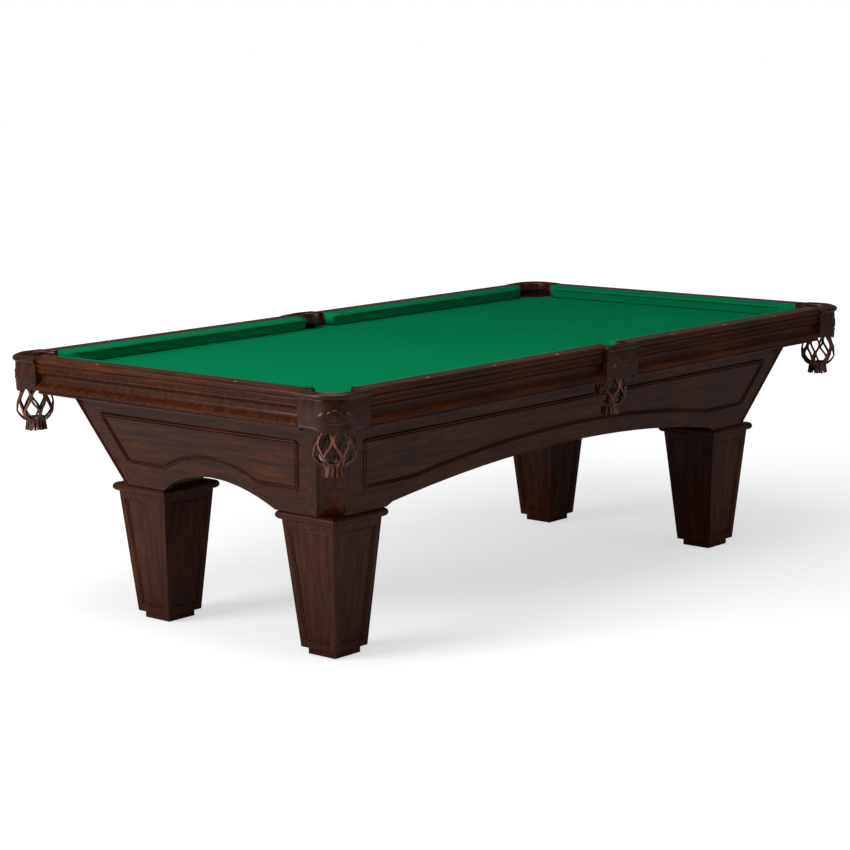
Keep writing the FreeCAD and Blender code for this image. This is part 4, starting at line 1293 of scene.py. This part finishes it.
    def leg_beads(self) -> bpy.types.Object:
        """Makes the bead inside each leg panel: a quarter round along the recess's four edges.

        Returns:
            The new object.
        """
        parts = MeshParts()
        foot_half, head_half, sunk, stile = 0.0655, 0.098, 0.004, 0.020
        low, high = 0.023, 0.388
        taper = (head_half - foot_half) / (high - low)
        bottom, top = 0.045, 0.366
        at_low = foot_half + taper * (bottom - low) - stile
        at_high = foot_half + taper * (top - low) - stile
        path = np.array([[-at_low, bottom], [at_low, bottom], [at_high, top], [-at_high, top]])
        t = np.radians(np.linspace(0, 180, 9))
        section = np.stack([0.0035 - 0.0035 * np.cos(t), 0.0036 * np.sin(t)], -1)
        section = np.concatenate([section, [[0.007, -0.0004], [0.0, -0.0004]]])
        for sign_x in (1, -1):
            for sign_y in (1, -1):
                centre = np.array([sign_x * 0.902, sign_y * 0.338, 0])
                for turn in (0, 90, 180, 270):
                    def face(spots: Array, heights: Array, turn: int = turn, centre: Array = centre) -> Array:
                        """Puts spots on the leg's leaning face, sunk by the panel's depth.

                        Args:
                            spots: Places along the face.
                            heights: Heights on the face.
                            turn: Turn about +Z in degrees.
                            centre: Middle of the leg.

                        Returns:
                            Points on the face.
                        """
                        depth = foot_half - sunk + taper * (spots[..., 1] - low) + heights
                        flat = np.stack([spots[..., 0], depth, spots[..., 1]], -1)
                        return turn_about_z(flat, turn) + centre
                    self.loop(parts, path, section, face)
        return parts.build("leg_panel_beads", [self.finishes.wood_z])

    def build(self) -> list[bpy.types.Object]:
        """Makes every bead, fixed to the table.

        Returns:
            The new objects.
        """
        made = self.panels() + [self.post_beads(), self.leg_beads()]
        for piece in made:
            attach(piece, TABLE)
        return made


# ---------------------------------------------------------------- what comes from the frame as it is

@dataclass
class CarriedNodes:
    """Nodes whose shape is right already, each with its finish."""

    finishes: Finishes

    def build(self) -> None:
        """Dresses every node that no other class replaces."""
        f = self.finishes
        plan = {
            f.wood_x: ["rail_far_right", "rail_far_left", "rail_near_left", "rail_near_right", "apron_far",
                       "apron_near", "rail_skirts"],
            f.wood_y: ["rail_right_end", "rail_left_end", "apron_right", "apron_left", "leg_caps"],
            f.wood_z: ["corner_posts", "leg_plinths"] + [n for n in frame["nodes"] if self.is_leg(n)],
            f.slate: ["slate_head", "slate_middle", "slate_foot"],
            f.softwood: ["slate_backing", "cross_beams", "corner_blocks"],
            f.cloth: ["feather_strips"],
            f.rubber: ["cushion_rubbers"],
            f.pearl: ["sights"],
            f.brass: ["name_plate", "leveller_inserts"],
            f.iron: ["pocket_irons"],
            f.steel: ["rail_bolts", "rail_bolt_washers", "leg_bolts"]
            + [n for n in frame["nodes"] if n.startswith("leveller_pad") or n.startswith("leveller_stem")],
        }
        for material, names in plan.items():
            for name in names:
                dress(name, material)

    @staticmethod
    def is_leg(name: str) -> bool:
        """Whether a node is one of the four leg bodies.

        Args:
            name: Name of a node.

        Returns:
            Whether it is.
        """
        return name.startswith(("leg_far", "leg_near"))


# ---------------------------------------------------------------- camera, floor and light

@dataclass
class Studio:
    """Pale floor, soft lights and the camera."""

    eye: tuple[float, float, float] = (-5.5661, -4.8174, 1.7236)
    azimuth: float = 48.477
    down: float = 9.482
    roll: float = -0.761
    lens_mm: float = 100.70
    sensor_mm: float = 36.0
    sky_light: float = 0.11
    floor_glow: float = 0.62
    floor_paint: str = "D8D8D8"

    def camera(self) -> None:
        """Sets the camera from its azimuth (from +Y towards +X), its tilt down and its roll."""
        az, el, roll = (math.radians(v) for v in (self.azimuth, self.down, self.roll))
        forward = Vector((math.sin(az) * math.cos(el), math.cos(az) * math.cos(el), -math.sin(el)))
        right = forward.cross(Vector((0, 0, 1))).normalized()
        up = right.cross(forward)
        rolled_right = right * math.cos(roll) + up * math.sin(roll)
        rolled_up = up * math.cos(roll) - right * math.sin(roll)
        data = bpy.data.cameras.new("view")
        data.lens = self.lens_mm
        data.sensor_width = self.sensor_mm
        camera = bpy.data.objects.new("view", data)
        axes = Matrix((rolled_right, rolled_up, -forward)).transposed()
        camera.matrix_world = Matrix.Translation(self.eye) @ axes.to_4x4()
        bpy.context.scene.collection.objects.link(camera)
        bpy.context.scene.camera = camera

    def floor(self) -> None:
        """Lays a plain pale floor that reaches past the view."""
        half = 30.0
        parts = MeshParts()
        parts.add(np.array([[-half, -half, 0], [half, -half, 0], [half, half, 0], [-half, half, 0]]), [[0, 1, 2, 3]])
        piece = parts.build("floor", [self.paper()], smooth=False, recalculate=False)

    def paper(self) -> bpy.types.Material:
        """Makes the floor's white paper, which glows for the camera alone and more the farther off it lies.

        Returns:
            The material.
        """
        material = bpy.data.materials.new("white_backdrop_paper")
        material.use_nodes = True
        tree = material.node_tree
        shader = tree.nodes["Principled BSDF"]
        shader.inputs["Base Color"].default_value = srgb(self.floor_paint)
        shader.inputs["Roughness"].default_value = 0.9
        shader.inputs["Specular IOR Level"].default_value = 0.0
        shader.inputs["Emission Color"].default_value = srgb("FFFFFF")
        where = add_node(tree, "ShaderNodeTexCoord").outputs["Object"]
        far = add_node(tree, "ShaderNodeVectorMath", {"operation": "LENGTH"}, {0: where})
        glow = add_node(tree, "ShaderNodeMapRange", {}, {
            "Value": far.outputs["Value"], "From Min": 1.2, "From Max": 5.0,
            "To Min": self.floor_glow, "To Max": 1.0})
        ray = add_node(tree, "ShaderNodeLightPath")
        seen = add_node(tree, "ShaderNodeMath", {"operation": "MULTIPLY"}, {
            0: glow.outputs[0], 1: ray.outputs["Is Camera Ray"]})
        tree.links.new(seen.outputs[0], shader.inputs["Emission Strength"])
        return material

    def sky(self) -> None:
        """Sets a white backdrop whose light on the table is dimmer than it looks from the camera."""
        world = bpy.data.worlds.new("studio")
        world.use_nodes = True
        tree = world.node_tree
        tree.nodes.clear()
        white = srgb("FFFFFF")
        seen = add_node(tree, "ShaderNodeBackground", {}, {"Color": white, "Strength": 1.0})
        shed = add_node(tree, "ShaderNodeBackground", {}, {"Color": white, "Strength": self.sky_light})
        ray = add_node(tree, "ShaderNodeLightPath")
        mixed = add_node(tree, "ShaderNodeMixShader", {}, {
            0: ray.outputs["Is Camera Ray"], 1: shed.outputs[0], 2: seen.outputs[0]})
        add_node(tree, "ShaderNodeOutputWorld", {}, {"Surface": mixed.outputs[0]})
        bpy.context.scene.world = world

    def softbox(self, name: str, place: Sequence[float], aim: Sequence[float], size: tuple[float, float],
                watts: float) -> None:
        """Adds an area light.

        Args:
            name: The light's name.
            place: Where it hangs.
            aim: The point it faces.
            size: Its width and height.
            watts: Its power.
        """
        data = bpy.data.lights.new(name, "AREA")
        data.shape = "RECTANGLE"
        data.size, data.size_y = size
        data.energy = watts
        light = bpy.data.objects.new(name, data)
        light.location = place
        light.rotation_euler = (Vector(aim) - Vector(place)).to_track_quat("-Z", "Y").to_euler()
        bpy.context.scene.collection.objects.link(light)

    def build(self) -> None:
        """Sets up the camera, the floor, the sky and three soft lights."""
        self.camera()
        self.floor()
        self.sky()
        bpy.context.scene.view_settings.view_transform = "Standard"
        self.softbox("key", (-5.5, 2.0, 2.6), (-0.5, 0, 0.4), (3.0, 2.5), 200)
        self.softbox("top", (-1.4, -0.6, 3.6), (-0.2, 0, 0.7), (3.0, 2.5), 78)
        self.softbox("fill", (2.0, -7.0, 2.0), (0, 0, 0.4), (5.0, 1.2), 52)


def main() -> None:
    """Builds the table's pieces in order and reports each."""
    logging.basicConfig(level=logging.INFO, format="%(name)s: %(message)s")
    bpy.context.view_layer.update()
    finishes = Finishes()
    layout = Layout()
    Studio().build()
    CarriedNodes(finishes).build()
    bed = BedCloth(layout, finishes).build()
    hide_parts("bed_cloth")
    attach(bed, TABLE)
    LOG.info("bed cloth laid")
    cloths = CushionCloths(layout, finishes).build()
    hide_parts("cushion_cloth")
    LOG.info("%d cushions covered", len(cloths))
    spots = (("far_right", 1, 1, 0), ("far_left", -1, 1, 90), ("near_left", -1, -1, 180), ("near_right", 1, -1, 270))
    for name, sign_x, sign_y, turn in spots:
        x, y = sign_x * layout.corner_x, sign_y * layout.corner_y
        PocketLeather(name, x, y, turn, True, finishes).build()
        girth = 1.05 if name == "near_left" else 1.0
        Net(name, *layout.net_axes[name], True, finishes, girth=girth).build()
        LOG.info("corner pocket %s hung", name)
    for name, sign_y, turn in (("far_side", 1, 0), ("near_side", -1, 180)):
        y = sign_y * layout.side_y
        PocketLeather(name, 0.0, y, turn, False, finishes, rim=layout.side_rim, hole=0.048,
                      ear=0.0747).build()
        Net(name, *layout.net_axes[name], False, finishes, strips=12).build()
        LOG.info("side pocket %s hung", name)
    beads = Mouldings(layout, finishes).build()
    LOG.info("%d mouldings planted", len(beads))


if __name__ == "__main__":
    main()
